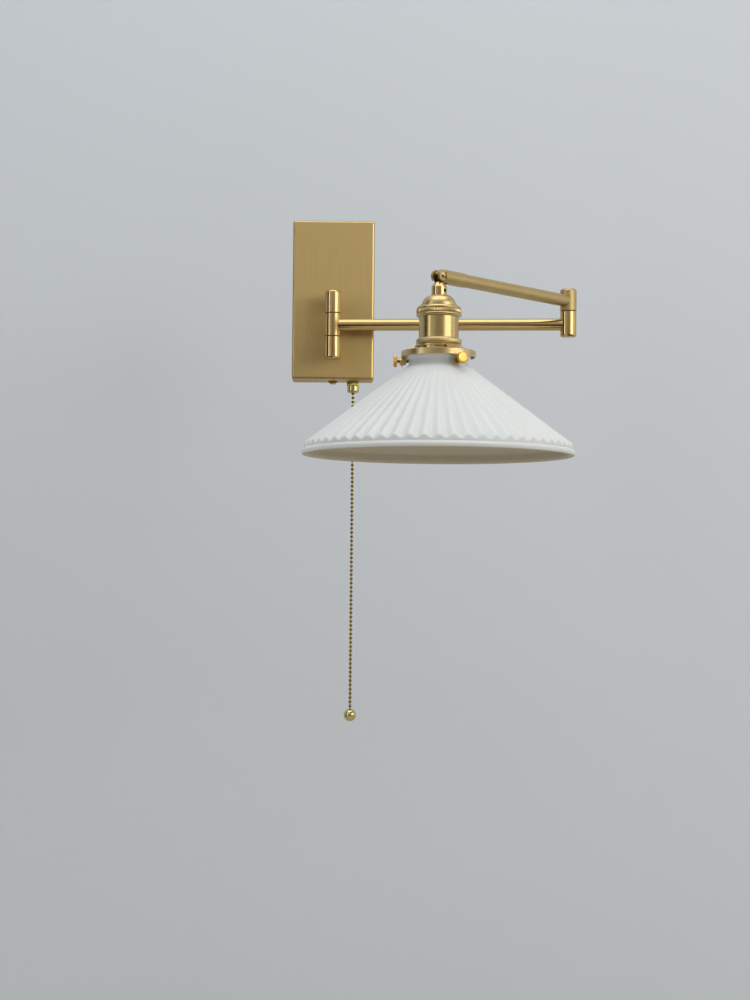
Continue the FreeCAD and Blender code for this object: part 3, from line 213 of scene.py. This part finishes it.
def turned(outline, sides, teeth=0, seat=None, closed=False):
    """Points and faces of a turned piece. Each outline point is (radius, height) in mm.

    A third number is the depth of knurling there: so many teeth round the edge. A closed outline is
    a ring's, and one that isn't closed gets a flat end at top and bottom.
    """
    points = []
    faces = []
    for radius, height, *cut in outline:
        for i in range(sides):
            angle = 2 * math.pi * i / sides
            notch = abs((angle * teeth / (2 * math.pi) + 0.5) % 1 - 0.5) * 2
            r = radius - (cut[0] * notch if cut else 0)
            points.append(Vector((r * math.cos(angle), r * math.sin(angle), height)))
    rows = len(outline)
    for row in range(rows if closed else rows - 1):
        low = row * sides
        high = (row + 1) % rows * sides
        for i in range(sides):
            j = (i + 1) % sides
            faces.append((low + i, low + j, high + j, high + i))
    if not closed:
        faces.append(tuple(reversed(range(sides))))
        faces.append(tuple(range((rows - 1) * sides, rows * sides)))
    if seat:
        points = [seat @ p for p in points]
    return points, faces


# Pale brass, polished: richer in zinc than the rest, so its gold leans to green.
pale_brass, tree, place = new_material("polished_pale_brass")
smear = add_node(tree, "ShaderNodeTexNoise", {"Vector": place, "Scale": 1 / (9 * MM), "Detail": 3})
tone = add_node(tree, "ShaderNodeMix", {
    0: smear.outputs["Fac"], 6: linear("#BFB474"), 7: linear("#CEC488")}, data_type="RGBA")
sheen = add_node(tree, "ShaderNodeMapRange", {
    "Value": smear.outputs["Fac"], "To Min": 0.07, "To Max": 0.16})
shader = add_node(tree, "ShaderNodeBsdfPrincipled", {
    "Base Color": tone.outputs[2], "Metallic": 1.0, "Roughness": sheen.outputs[0]})
add_node(tree, "ShaderNodeOutputMaterial", {"Surface": shader.outputs[0]})
dress(pale_brass, "switch_bell")
nut_outline = [
    (NUT_BORE, NUT_FOOT), (NUT_EDGE - 0.5, NUT_FOOT), (NUT_EDGE, NUT_FOOT + 0.5, NUT_KNURL),
    (NUT_EDGE, NUT_TOP - 0.5, NUT_KNURL), (NUT_EDGE - 0.6, NUT_TOP), (NUT_BORE, NUT_TOP)]
nut_seat = Matrix.Translation((SWITCH_X, SWITCH_Y, 0))
# A tooth takes four points round the edge.
new_piece("switch_knurled_nut", *turned(nut_outline, 4 * NUT_TEETH, NUT_TEETH, nut_seat, closed=True),
          [pale_brass], "wall_mount", "polished_brass", "switch_nut")

# Pull chain: hollow beads rolled from brass strip, joined by short wire links with riveted ends.
# It hangs straight from the switch inside the box, out through the bell.
BEADS = 79
BEAD = 1.6
PITCH = 4.25
LINK = 0.6
LINK_END = 0.8 * BEAD
CHAIN_TOP = -79.5
CHAIN_FOOT = -411.0
# The route is the chain's own line, from the bead that the switch holds to the bead in the ball.
route = bpy.data.curves.new("chain_route", "CURVE")
route.dimensions = "3D"
spline = route.splines.new("NURBS")
spline.points.add(2)
for point, height in zip(spline.points, (CHAIN_TOP, (CHAIN_TOP + CHAIN_FOOT) / 2, CHAIN_FOOT)):
    point.co = (SWITCH_X * MM, SWITCH_Y * MM, height * MM, 1)
spline.order_u = 3
spline.use_endpoint_u = True
spline.resolution_u = 40
route_object = bpy.data.objects.new("chain_route", route)
line = [v.co.copy() for v in bpy.data.meshes.new_from_object(route_object).vertices]
bpy.data.objects.remove(route_object)


def along(distance):
    """The point so many metres down the chain's line."""
    for a, b in zip(line, line[1:]):
        step = (b - a).length
        if distance <= step + 1e-7:
            return a.lerp(b, distance / step)
        distance -= step
    return line[-1]


def joined(shapes):
    """Points and faces of several shapes as one mesh."""
    points = []
    faces = []
    for shape_points, shape_faces in shapes:
        faces.extend(tuple(len(points) + k for k in face) for face in shape_faces)
        points.extend(shape_points)
    return points, faces


# Toned brass: beads dipped brown and rubbed bright again, so they are darker than the lamp.
toned_brass, tree, place = new_material("toned_brass")
rub = add_node(tree, "ShaderNodeTexNoise", {"Vector": place, "Scale": 1 / (2 * MM), "Detail": 2})
tone = add_node(tree, "ShaderNodeMix", {
    0: rub.outputs["Fac"], 6: linear("#6F5A22"), 7: linear("#A0853F")}, data_type="RGBA")
sheen = add_node(tree, "ShaderNodeMapRange", {
    "Value": rub.outputs["Fac"], "To Min": 0.12, "To Max": 0.24})
shader = add_node(tree, "ShaderNodeBsdfPrincipled", {
    "Base Color": tone.outputs[2], "Metallic": 1.0, "Roughness": sheen.outputs[0]})
add_node(tree, "ShaderNodeOutputMaterial", {"Surface": shader.outputs[0]})

# A bead is flat at its two poles, where the links go in.
bead_angles = [math.radians(degrees) for degrees in (157, 140, 122, 106, 90, 74, 58, 40, 23)]
bead_outline = [(BEAD * math.sin(a), BEAD * math.cos(a)) for a in bead_angles]
link_outline = [(LINK, LINK_END - PITCH), (LINK, -LINK_END)]
shapes = []
finish = []
for i in range(BEADS):
    middle = Matrix.Translation(along(PITCH * MM * i) / MM)
    shapes.append(turned(bead_outline, 14, seat=middle))
    finish += [0] * len(shapes[-1][1])
    if i < BEADS - 1:
        shapes.append(turned(link_outline, 8, seat=middle))
        finish += [1] * len(shapes[-1][1])
pull_chain = new_piece("bead_chain", *joined(shapes), [toned_brass, pale_brass],
                       "pull", "polished_brass", "pull_chain")
pull_chain.data.polygons.foreach_set("material_index", finish)

# Pull ball: a turned ball of pale brass, drilled from the top to take the chain's last bead.
# It is polished all over, so it shows the whole room in small.
dress(pale_brass, "pull_ball")

# Wall hinge: three turned brass knuckles on a hollow pin, the outer two held to the box by posts.
# They are polished on the lathe, and their edges are broken so that the joints show as lines.
# Inside the box a plated washer and nut hold each post.
HINGE = Vector((0, -52, -28))
WASHER_BORE = 4.1
WASHER_EDGE = 7.2
WASHER_FOOT = 11.25
WASHER_TOP = 11.71
dress(polished_brass, "hinge_top_knuckle", "hinge_bottom_knuckle", "hinge_middle_knuckle",
      "hinge_posts", "hinge_pin")
dress(zinc_plated_steel, "post_washers", "post_nuts")
# Two fibre washers turn with the middle knuckle, 0.04 mm clear of the fixed ones.
washer_outline = [
    (WASHER_BORE, WASHER_FOOT), (WASHER_EDGE - 0.1, WASHER_FOOT), (WASHER_EDGE, WASHER_FOOT + 0.1),
    (WASHER_EDGE, WASHER_TOP - 0.1), (WASHER_EDGE - 0.1, WASHER_TOP), (WASHER_BORE, WASHER_TOP)]
washers = []
for way in (1, -1):
    washer_seat = Matrix.Translation(HINGE) @ Matrix.Diagonal((1, way, way, 1))
    washers.append(turned(washer_outline, 96, seat=washer_seat, closed=True))
new_piece("hinge_fibre_washers", *joined(washers), [vulcanised_fibre],
          "first_arm", "dark_fibre", "hinge_washers")

# First arm: a drawn brass tube, soldered into the hinge's middle knuckle and the lower elbow knuckle.
# All of it is polished like the hinge, and a fibre washer lets the elbow turn on its pin.
dress(polished_brass, "arm_1_tube", "elbow_lower_knuckle", "elbow_pin")
dress(vulcanised_fibre, "elbow_washer")
dress(cotton_covered_rubber, "arm_1_lead")

# Second arm: a like tube that turns on the elbow pin, with a forked end for the head.
# Its knuckle is closed by a pressed-in plug, and all of it is scoured to a matt finish.
# Matt brass: scoured with a coarse pad and lacquered dull, so its highlights are faint and wide.
matt_brass, tree, place = new_material("matt_brass")
cloud = add_node(tree, "ShaderNodeTexNoise", {"Vector": place, "Scale": 1 / (16 * MM), "Detail": 4})
# The scratches are about 0.1 mm apart, and are drawn 0.9 mm apart to show.
scour = add_node(tree, "ShaderNodeTexNoise", {"Vector": place, "Scale": 1 / (0.9 * MM), "Detail": 2})
tone = add_node(tree, "ShaderNodeMix", {
    0: cloud.outputs["Fac"], 6: linear("#B79C64"), 7: linear("#C5AC78")}, data_type="RGBA")
sheen = add_node(tree, "ShaderNodeMapRange", {
    "Value": scour.outputs["Fac"], "To Min": 0.38, "To Max": 0.5})
shader = add_node(tree, "ShaderNodeBsdfPrincipled", {
    "Base Color": tone.outputs[2], "Metallic": 1.0, "Roughness": sheen.outputs[0],
    "Coat Weight": 0.2, "Coat Roughness": 0.35})
add_node(tree, "ShaderNodeOutputMaterial", {"Surface": shader.outputs[0]})
dress(matt_brass, "arm_2_tube", "elbow_upper_knuckle", "elbow_plug", "tilt_fork")
dress(cotton_covered_rubber, "arm_2_lead")

# Tilt joint: a flat brass tongue between the fork's cheeks, clamped by a domed screw and a nut.
# Fibre washers give it friction, and a black set screw locks the tongue's neck.
dress(polished_brass, "tilt_screw", "tilt_nut", "tilt_tongue")
dress(vulcanised_fibre, "tilt_washers")
# Blackened steel: oil-blacked after turning, dark with a dull shine.
blackened_steel, tree, place = new_material("blackened_steel")
fleck = add_node(tree, "ShaderNodeTexNoise", {"Vector": place, "Scale": 1 / (1 * MM), "Detail": 2})
tone = add_node(tree, "ShaderNodeMix", {
    0: fleck.outputs["Fac"], 6: linear("#2A2724"), 7: linear("#45403A")}, data_type="RGBA")
shader = add_node(tree, "ShaderNodeBsdfPrincipled", {
    "Base Color": tone.outputs[2], "Metallic": 1.0, "Roughness": 0.4})
add_node(tree, "ShaderNodeOutputMaterial", {"Surface": shader.outputs[0]})
dress(blackened_steel, "neck_screw")

# Lampholder: a spun brass cap and a drawn brass shell, screwed together over a porcelain insulator.
# Two knurled rings clamp the shell and the shade gallery, and a threaded nipple takes the lead.
# Satin brass: rubbed with fine abrasive and lacquered, so highlights are broad and soft.
satin_brass, tree, place = new_material("satin_brass")
# Marks of the abrasive run round a turned piece: 0.1 mm apart, drawn 0.7 mm apart to show.
squeeze = add_node(tree, "ShaderNodeMapping", {
    "Vector": place, "Scale": (1 / (30 * MM), 1 / (30 * MM), 1 / (0.7 * MM))})
rings = add_node(tree, "ShaderNodeTexNoise", {"Vector": squeeze.outputs[0], "Scale": 1.0, "Detail": 3})
cloud = add_node(tree, "ShaderNodeTexNoise", {"Vector": place, "Scale": 1 / (18 * MM), "Detail": 3})
tone = add_node(tree, "ShaderNodeMix", {
    0: cloud.outputs["Fac"], 6: linear("#C2A66C"), 7: linear("#CFB67F")}, data_type="RGBA")
sheen = add_node(tree, "ShaderNodeMapRange", {
    "Value": rings.outputs["Fac"], "To Min": 0.28, "To Max": 0.38})
shader = add_node(tree, "ShaderNodeBsdfPrincipled", {
    "Base Color": tone.outputs[2], "Metallic": 1.0, "Roughness": sheen.outputs[0],
    "Coat Weight": 0.6, "Coat Roughness": 0.2})
add_node(tree, "ShaderNodeOutputMaterial", {"Surface": shader.outputs[0]})
dress(satin_brass, "socket_cap", "socket_nipple")

# Fine turned brass: a sharp tool leaves rings too fine to see, so streaks stay crisp but not mirror bright.
turned_brass, tree, place = new_material("fine_turned_brass")
# The rings are about 0.05 mm apart, and are drawn 0.6 mm apart to show.
squeeze = add_node(tree, "ShaderNodeMapping", {
    "Vector": place, "Scale": (1 / (30 * MM), 1 / (30 * MM), 1 / (0.6 * MM))})
rings = add_node(tree, "ShaderNodeTexNoise", {"Vector": squeeze.outputs[0], "Scale": 1.0, "Detail": 2})
tone = add_node(tree, "ShaderNodeMix", {
    0: rings.outputs["Fac"], 6: linear("#BA9D62"), 7: linear("#C7AC73")}, data_type="RGBA")
sheen = add_node(tree, "ShaderNodeMapRange", {
    "Value": rings.outputs["Fac"], "To Min": 0.2, "To Max": 0.3})
shader = add_node(tree, "ShaderNodeBsdfPrincipled", {
    "Base Color": tone.outputs[2], "Metallic": 1.0, "Roughness": sheen.outputs[0],
    "Coat Weight": 0.6, "Coat Roughness": 0.1})
add_node(tree, "ShaderNodeOutputMaterial", {"Surface": shader.outputs[0]})
dress(turned_brass, "socket_shell")

# Glazed porcelain: white with a soft gloss. Light goes about 5 mm into it, which softens every edge.
glazed_porcelain, tree, place = new_material("glazed_porcelain")
cloud = add_node(tree, "ShaderNodeTexNoise", {"Vector": place, "Scale": 1 / (30 * MM), "Detail": 3})
tone = add_node(tree, "ShaderNodeMix", {
    0: cloud.outputs["Fac"], 6: linear("#DFE2E0"), 7: linear("#E6E8E6")}, data_type="RGBA")
sheen = add_node(tree, "ShaderNodeMapRange", {
    "Value": cloud.outputs["Fac"], "To Min": 0.36, "To Max": 0.48})
shader = add_node(tree, "ShaderNodeBsdfPrincipled", {
    "Base Color": tone.outputs[2], "Roughness": sheen.outputs[0], "Subsurface Weight": 1.0,
    "Subsurface Radius": (1.0, 0.9, 0.8), "Subsurface Scale": 5 * MM})
add_node(tree, "ShaderNodeOutputMaterial", {"Surface": shader.outputs[0]})
dress(glazed_porcelain, "socket_insulator")
dress(polished_brass, "contact_shell", "centre_contact")
dress(cotton_covered_rubber, "head_lead")

# The head hangs from the middle of the tilt screw, and depths on it are measured down from there.
HEAD = Vector((97.445, -215.565, -5))
RING_TEETH = 96
hang = Matrix.Translation(HEAD) @ Matrix.Diagonal((1, -1, -1, 1))
# The upper ring has a smooth bead, a knurled belt and a smooth lip, parted by two grooves.
upper_bead = [
    (18.1, 28.1), (18.7, 28.1), (19.3, 28.5), (19.75, 29.1), (20.0, 29.9), (20.0, 30.4), (19.8, 30.9)]
upper_belt = [
    (19.5, 31.1), (20.2, 31.4, 0.4), (20.35, 31.7, 0.45), (20.35, 34.0, 0.45), (20.2, 34.3, 0.4),
    (19.6, 34.6)]
upper_lip = [
    (20.1, 34.9), (20.4, 35.3), (20.5, 35.9), (20.3, 36.6), (19.8, 37.2), (19.2, 37.7), (18.9, 37.9),
    (18.1, 37.9)]
upper_outline = upper_bead + upper_belt + upper_lip
new_piece("upper_knurled_ring", *turned(upper_outline, 4 * RING_TEETH, RING_TEETH, hang, closed=True),
          [satin_brass], "head", "brushed_brass", "upper_ring")
# The lower ring is a knurled belt between two bevels.
lower_outline = [
    (16.8, 57.1), (18.9, 57.1), (19.2, 57.3), (20.2, 58.4), (20.5, 58.7, 0.35), (20.5, 61.4, 0.35),
    (20.2, 61.7), (19.2, 62.9), (18.9, 63.1), (16.8, 63.1)]
new_piece("lower_knurled_ring", *turned(lower_outline, 4 * RING_TEETH, RING_TEETH, hang, closed=True),
          [satin_brass], "head", "brushed_brass", "lower_ring")

# Bulb: an opal glass globe cemented into a threaded metal cap, screwed into the lampholder.
# It only shows from below.
# Opal glass: milky white all through, with a wet shine.
opal_glass, tree, place = new_material("opal_glass")
cloud = add_node(tree, "ShaderNodeTexNoise", {"Vector": place, "Scale": 1 / (25 * MM), "Detail": 2})
tone = add_node(tree, "ShaderNodeMix", {
    0: cloud.outputs["Fac"], 6: linear("#EFEBE2"), 7: linear("#F6F3EC")}, data_type="RGBA")
shader = add_node(tree, "ShaderNodeBsdfPrincipled", {"Base Color": tone.outputs[2], "Roughness": 0.12})
add_node(tree, "ShaderNodeOutputMaterial", {"Surface": shader.outputs[0]})
dress(opal_glass, "bulb_glass")

# Nickel plated brass: the rolled thread, 3.6 mm from turn to turn, shows as bright and dark bands.
nickel_plated_brass, tree, place = new_material("nickel_plated_brass")
turns = add_node(tree, "ShaderNodeTexWave", {
    "Vector": place, "Scale": 2 * math.pi / 20 / (3.6 * MM)}, bands_direction="Z")
relief = add_node(tree, "ShaderNodeBump", {
    "Height": turns.outputs["Fac"], "Strength": 0.8, "Distance": 0.8 * MM})
sheen = add_node(tree, "ShaderNodeMapRange", {
    "Value": turns.outputs["Fac"], "To Min": 0.2, "To Max": 0.32})
shader = add_node(tree, "ShaderNodeBsdfPrincipled", {
    "Base Color": linear("#C6C4BE"), "Metallic": 1.0, "Roughness": sheen.outputs[0],
    "Normal": relief.outputs[0]})
add_node(tree, "ShaderNodeOutputMaterial", {"Surface": shader.outputs[0]})
dress(nickel_plated_brass, "bulb_cap")

# Shade gallery: a pressed brass ring with three openings, held on the lampholder by a nut.
# Its band and three lugs carry the shade by its neck.
dress(satin_brass, "gallery")
dress(polished_brass, "gallery_nut")

# Shade: a cone of porcelain, cast in a pleated mould, glazed outside and left plain inside.
# The pleats fade out at the neck and end as arches over a plain band, and the lip flares out below.
# Its foot is wiped clean of glaze, because it stands on it in the kiln. The plain inside and foot are also
# painted darker than the glaze, as painted shade.
PLEATS = 60
PLEAT_STEPS = 14
FIRST_PLEAT = math.radians(-92.3)
# Depth of a full pleat, as a share of the radius.
PLEAT_DEPTH = 0.033708
# Radii: the bore and the outside of the collar, the neck, the plain band, the end of the ridges,
# the lip, and the inside behind the band.
BORE = 22
COLLAR = 29
NECK = 26.6
BAND = 120.4
RIDGE_END = 124.6
LIP = 123
INSIDE = 116
# Depths: the collar's top, the start of the cone, the end of the band, and the foot.
COLLAR_TOP = 72.3
CONE_TOP = 81.4
BAND_END = 157.3
FOOT = 162.95
SLOPE = math.tan(math.radians(37))

# Plain porcelain: unglazed, matt and warmer than the glaze, and painted darker than it as painted shade
# inside the shade and on its foot.
plain_porcelain, tree, place = new_material("plain_porcelain")
grit = add_node(tree, "ShaderNodeTexNoise", {"Vector": place, "Scale": 1 / (8 * MM), "Detail": 4})
tone = add_node(tree, "ShaderNodeMix", {
    0: grit.outputs["Fac"], 6: linear("#C1B8A1"), 7: linear("#CDC4AF")}, data_type="RGBA")
shader = add_node(tree, "ShaderNodeBsdfPrincipled", {"Base Color": tone.outputs[2], "Roughness": 0.7})
add_node(tree, "ShaderNodeOutputMaterial", {"Surface": shader.outputs[0]})


def bend(a, b, c, steps):
    """Points on a curve that leaves a and reaches c, drawn towards b."""
    found = []
    for k in range(steps + 1):
        t = k / steps
        found.append(tuple((1 - t) ** 2 * p + 2 * t * (1 - t) * q + t * t * r for p, q, r in zip(a, b, c)))
    return found


def pleated(crest, wave):
    """Radius and depth on the pleated cone.

    Crest is the radius on a ridge at that depth, and wave is 0 on a ridge and 1 in a valley. The pleats
    grow from nothing at the neck, and the last tenth of the cone has their full depth.
    """
    share = (crest - NECK) / (RIDGE_END - NECK)
    depth = PLEAT_DEPTH * min(1, share / 0.9) ** 0.8
    return crest * (1 - depth * wave), CONE_TOP + (crest - NECK) * SLOPE


def shade_column(angle):
    """The shade's outline at one angle, as (radius, depth), from the collar down to the foot and up inside.

    With it comes the place in the outline where the glaze ends and the plain porcelain, painted darker as
    shade, begins.
    """
    wave = 0.5 - 0.5 * math.cos(PLEATS * (angle - FIRST_PLEAT))
    # The crest at which this line of the cone comes down to the band.
    end = BAND
    for _ in range(8):
        end *= BAND / pleated(end, wave)[0]
    # The collar and the neck.
    column = [(BORE, COLLAR_TOP + 0.3), (BORE + 0.3, COLLAR_TOP), (COLLAR - 0.5, COLLAR_TOP),
              (COLLAR, COLLAR_TOP + 0.5), (COLLAR, 75.4)]
    column += bend((28.8, 76), (27, 76.4), (NECK, 78), 4)
    column += bend((NECK, 79), (NECK, CONE_TOP), pleated(29.6, wave), 5)
    # The pleated cone, rounded over into the band.
    start = 30.6
    last = end - 1.2
    column += [pleated(start + (last - start) * k / 24, wave) for k in range(25)]
    corner = pleated(end, wave)
    column += bend(column[-1], corner, (BAND, corner[1] + 1.0), 5)[1:]
    column += [(BAND, BAND_END - 0.15), (BAND, BAND_END)]
    # The lip, and the bare foot, whose plain porcelain is painted darker as shade.
    column += bend((BAND + 0.3, BAND_END + 0.15), (122.5, 158.2), (LIP, 160.0), 6)
    column += bend((LIP, 160.4), (LIP, 162.0), (LIP - 1, 162.5), 4)
    glaze_end_and_painted_shade = len(column) - 1
    column += bend((121.4, 162.75), (120.6, FOOT), (119.6, FOOT), 3)
    column += bend((118.8, 162.9), (116.2, 162.4), (INSIDE, 158.9), 5)
    # The plain cone inside, painted darker as shade, which ends at the collar's bore.
    column += bend((INSIDE, 155.6), (INSIDE, 154.5), (115, 153.6), 3)
    column += [(115 - (115 - BORE) * k / 8, 153.6 - 72.4 * k / 8) for k in range(1, 8)]
    column += [(BORE + 0.4, 81.3), (BORE, 80.8)]
    return column, glaze_end_and_painted_shade


columns = PLEATS * PLEAT_STEPS
points = []
faces = []
for i in range(columns):
    angle = 2 * math.pi * i / columns
    column, glaze_end_and_painted_shade = shade_column(angle)
    points += [HEAD + Vector((r * math.cos(angle), r * math.sin(angle), -d)) for r, d in column]
rows = len(column)
for i in range(columns):
    low = i * rows
    high = (i + 1) % columns * rows
    for k in range(rows):
        faces.append((low + k, low + (k + 1) % rows, high + (k + 1) % rows, high + k))
shade = new_piece("pleated_shade", points, faces, [glazed_porcelain, plain_porcelain],
                  "head", "white_porcelain", "shade")
# Faces past the glaze's end take the plain porcelain, which is painted darker as the shade inside the shade
# and on its foot.
shade.data.polygons.foreach_set("material_index", [int(k >= glaze_end_and_painted_shade) for k in range(rows)] * columns)

# Thumb screws: three screws turned from gilding brass, in the gallery's lugs, that close on the neck.
# The edge of each flat head is straight knurled, and the face is polished.
LUG_DEPTH = 78
SCREW = 1.5
THREAD_DEPTH = 0.2
HALF_PITCH = 0.25
THREAD_START = 27.4
SCREW_HEAD = 5.3
SCREW_KNURL = 0.35
SCREW_TEETH = 32
screw_thread = [(SCREW - THREAD_DEPTH * (k % 2), THREAD_START + HALF_PITCH * k) for k in range(40)]
screw_head = [
    (SCREW, 37.6), (SCREW_HEAD - 0.6, 37.6), (SCREW_HEAD, 38.1, SCREW_KNURL),
    (SCREW_HEAD, 40.0, SCREW_KNURL), (SCREW_HEAD - 0.5, 40.5), (SCREW_HEAD - 0.9, 40.6), (1.4, 40.6)]
screw_outline = [(0.8, THREAD_START - 0.5)] + screw_thread + screw_head
for name, azimuth in (("left", 180), ("front", -60), ("back", 60)):
    screw_seat = Matrix.Translation(HEAD + Vector((0, 0, -LUG_DEPTH)))
    screw_seat = screw_seat @ Matrix.Rotation(math.radians(azimuth), 4, "Z")
    screw_seat = screw_seat @ Matrix.Rotation(math.radians(90), 4, "Y")
    new_piece(f"{name}_knurled_screw", *turned(screw_outline, 4 * SCREW_TEETH, SCREW_TEETH, screw_seat),
              [gilding_brass], f"{name}_thumb_screw", "polished_brass", f"thumb_screw_{name}")

# Stage: a pale painted wall behind the lamp, a pale floor, soft lamps, two black cards and a grey one.
# The wall stands back from the lamp. It is clear from behind, as the floor is from below.
# Sizes here are in metres.
WALL = 0.28
FLOOR = -1.05
CEILING = 3
ASIDE = 2.6
# Emulsion paint: flat, and hardly uneven.
wall_paint, tree, place = new_material("emulsion_paint")
facing = add_node(tree, "ShaderNodeNewGeometry")
cloud = add_node(tree, "ShaderNodeTexNoise", {"Vector": place, "Scale": 1 / (500 * MM), "Detail": 3})
tone = add_node(tree, "ShaderNodeMix", {
    0: cloud.outputs["Fac"], 6: linear("#E0E5EA"), 7: linear("#E5EAEF")}, data_type="RGBA")
paint = add_node(tree, "ShaderNodeBsdfDiffuse", {"Color": tone.outputs[2]})
clear = add_node(tree, "ShaderNodeBsdfTransparent")
seen = add_node(tree, "ShaderNodeMixShader", {
    0: facing.outputs["Backfacing"], 1: paint.outputs[0], 2: clear.outputs[0]})
add_node(tree, "ShaderNodeOutputMaterial", {"Surface": seen.outputs[0]})

# Waxed pale boards: warm and matt, which warms what the lamp shows from below.
floor_boards, tree, place = new_material("pale_floor_boards")
# The boards' drift in colour is about 670 mm along them and 83 mm across.
stretch = add_node(tree, "ShaderNodeMapping", {"Vector": place, "Scale": (1.5, 12, 1)})
cloud = add_node(tree, "ShaderNodeTexNoise", {"Vector": stretch.outputs[0], "Scale": 1.0, "Detail": 3})
tone = add_node(tree, "ShaderNodeMix", {
    0: cloud.outputs["Fac"], 6: linear("#DAD3C7"), 7: linear("#E0D9CE")}, data_type="RGBA")
facing = add_node(tree, "ShaderNodeNewGeometry")
wood = add_node(tree, "ShaderNodeBsdfDiffuse", {"Color": tone.outputs[2]})
clear = add_node(tree, "ShaderNodeBsdfTransparent")
seen = add_node(tree, "ShaderNodeMixShader", {
    0: facing.outputs["Backfacing"], 1: wood.outputs[0], 2: clear.outputs[0]})
add_node(tree, "ShaderNodeOutputMaterial", {"Surface": seen.outputs[0]})

# Felt: matt, with a nap that drifts over about 33 mm. The cards only show in the metal, where the black
# ones part the highlights and the grey one, behind the camera, is the dim side of the room.
felts = {}
for name, dark, light in (("black_felt", "#1A1714", "#2A2622"), ("grey_felt", "#A09C95", "#ACA8A1")):
    felts[name], tree, place = new_material(name)
    nap = add_node(tree, "ShaderNodeTexNoise", {"Vector": place, "Scale": 30.0, "Detail": 2})
    tone = add_node(tree, "ShaderNodeMix", {
        0: nap.outputs["Fac"], 6: linear(dark), 7: linear(light)}, data_type="RGBA")
    shader = add_node(tree, "ShaderNodeBsdfDiffuse", {"Color": tone.outputs[2]})
    add_node(tree, "ShaderNodeOutputMaterial", {"Surface": shader.outputs[0]})


def stage_plane(name, corners, material, only_in_metal=False):
    """A flat stage piece. A card that only shows in metal is seen by glossy rays alone."""
    mesh = bpy.data.meshes.new(name)
    mesh.from_pydata(corners, [], [range(len(corners))])
    mesh.materials.append(material)
    plane = bpy.data.objects.new(name, mesh)
    scene.collection.objects.link(plane)
    if only_in_metal:
        plane.visible_camera = False
        plane.visible_diffuse = False
        plane.visible_shadow = False


stage_plane("backdrop", [
    (-ASIDE, WALL, FLOOR), (ASIDE, WALL, FLOOR), (ASIDE, WALL, CEILING), (-ASIDE, WALL, CEILING)],
    wall_paint)
stage_plane("floor", [
    (-ASIDE, -ASIDE, FLOOR), (ASIDE, -ASIDE, FLOOR), (ASIDE, WALL, FLOOR), (-ASIDE, WALL, FLOOR)],
    floor_boards)
stage_plane("left_card", [
    (-1.5, -0.75, -1), (-1.5, -0.1, -1), (-1.5, -0.1, 1), (-1.5, -0.75, 1)],
    felts["black_felt"], only_in_metal=True)
stage_plane("low_card", [
    (-1.4, -1.7, -0.44), (1.4, -1.7, -0.44), (1.4, -0.25, -0.44), (-1.4, -0.25, -0.44)],
    felts["black_felt"], only_in_metal=True)
stage_plane("front_card", [
    (-0.8, -2.3, -1), (0.8, -2.3, -1), (0.8, -2.3, 0.32), (-0.8, -2.3, 0.32)],
    felts["grey_felt"], only_in_metal=True)


def soft_lamp(name, azimuth, elevation, distance, width, height, power, colour):
    """A softbox that faces the lamp: azimuth 0 is the camera's side, positive to the right."""
    light = bpy.data.lights.new(name, "AREA")
    light.shape = "RECTANGLE"
    light.size = width
    light.size_y = height
    light.energy = power
    light.color = linear(colour)[:3]
    lamp = bpy.data.objects.new(name, light)
    a = math.radians(azimuth)
    e = math.radians(elevation)
    back = Vector((math.sin(a) * math.cos(e), -math.cos(a) * math.cos(e), math.sin(e)))
    lamp_middle = Vector((0.08, -0.12, -0.1))
    lamp.location = lamp_middle + back * distance
    lamp.rotation_euler = back.to_track_quat("Z", "Y").to_euler()
    scene.collection.objects.link(lamp)


soft_lamp("right_softbox", 50, 13, 2.2, 1.5, 0.9, 10, "#FFFAF2")
soft_lamp("right_fill", 98, 8, 2.3, 1.4, 2.0, 5, "#FFFAF2")
soft_lamp("left_softbox", -57, 16, 2.3, 0.22, 1.8, 3.2, "#FAFCFF")
soft_lamp("top_softbox", 0, 74, 1.9, 2.4, 1.8, 22, "#FFFFFF")

# Room: even pale air. What is seen, straight or in metal and glass, is the pale colour itself.
# The light that it sheds is lower, so that the softboxes shape the lamp.
AIR = linear("#D3D7DB")
world = bpy.data.worlds.new("studio")
scene.world = world
world.use_nodes = True
tree = world.node_tree
tree.nodes.clear()
rays = add_node(tree, "ShaderNodeLightPath")
looks = add_node(tree, "ShaderNodeMath", {
    0: rays.outputs["Is Camera Ray"], 1: rays.outputs["Is Glossy Ray"]}, operation="MAXIMUM")
looks = add_node(tree, "ShaderNodeMath", {
    0: looks.outputs[0], 1: rays.outputs["Is Transmission Ray"]}, operation="MAXIMUM")
shed = add_node(tree, "ShaderNodeBackground", {"Color": AIR, "Strength": 0.46})
seen = add_node(tree, "ShaderNodeBackground", {"Color": AIR, "Strength": 0.85})
both = add_node(tree, "ShaderNodeMixShader", {0: looks.outputs[0], 1: shed.outputs[0], 2: seen.outputs[0]})
add_node(tree, "ShaderNodeOutputWorld", {"Surface": both.outputs[0]})

# Camera: it stands 1.85 m in front of the wall, a little below the shade, and looks slightly up.
# The long lens keeps the upright lines of the box almost parallel.
CAMERA = Vector((20.9, -1854.9, -276.6))
scene.view_settings.view_transform = "Standard"
camera_data = bpy.data.cameras.new("camera")
camera_data.sensor_width = 36
camera_data.lens = 65.82
camera = bpy.data.objects.new("camera", camera_data)
pitch = math.radians(2.394)
yaw = math.radians(0.713)
roll = math.radians(0.532)
right = Vector((math.cos(yaw), -math.sin(yaw), 0))
ahead = Vector((math.sin(yaw) * math.cos(pitch), math.cos(yaw) * math.cos(pitch), math.sin(pitch)))
up = right.cross(ahead)
across = right * math.cos(roll) + up * math.sin(roll)
upward = up * math.cos(roll) - right * math.sin(roll)
turn = Matrix((across, upward, -ahead)).transposed().to_4x4()
camera.matrix_world = Matrix.Translation(CAMERA * MM) @ turn
scene.collection.objects.link(camera)
scene.camera = camera
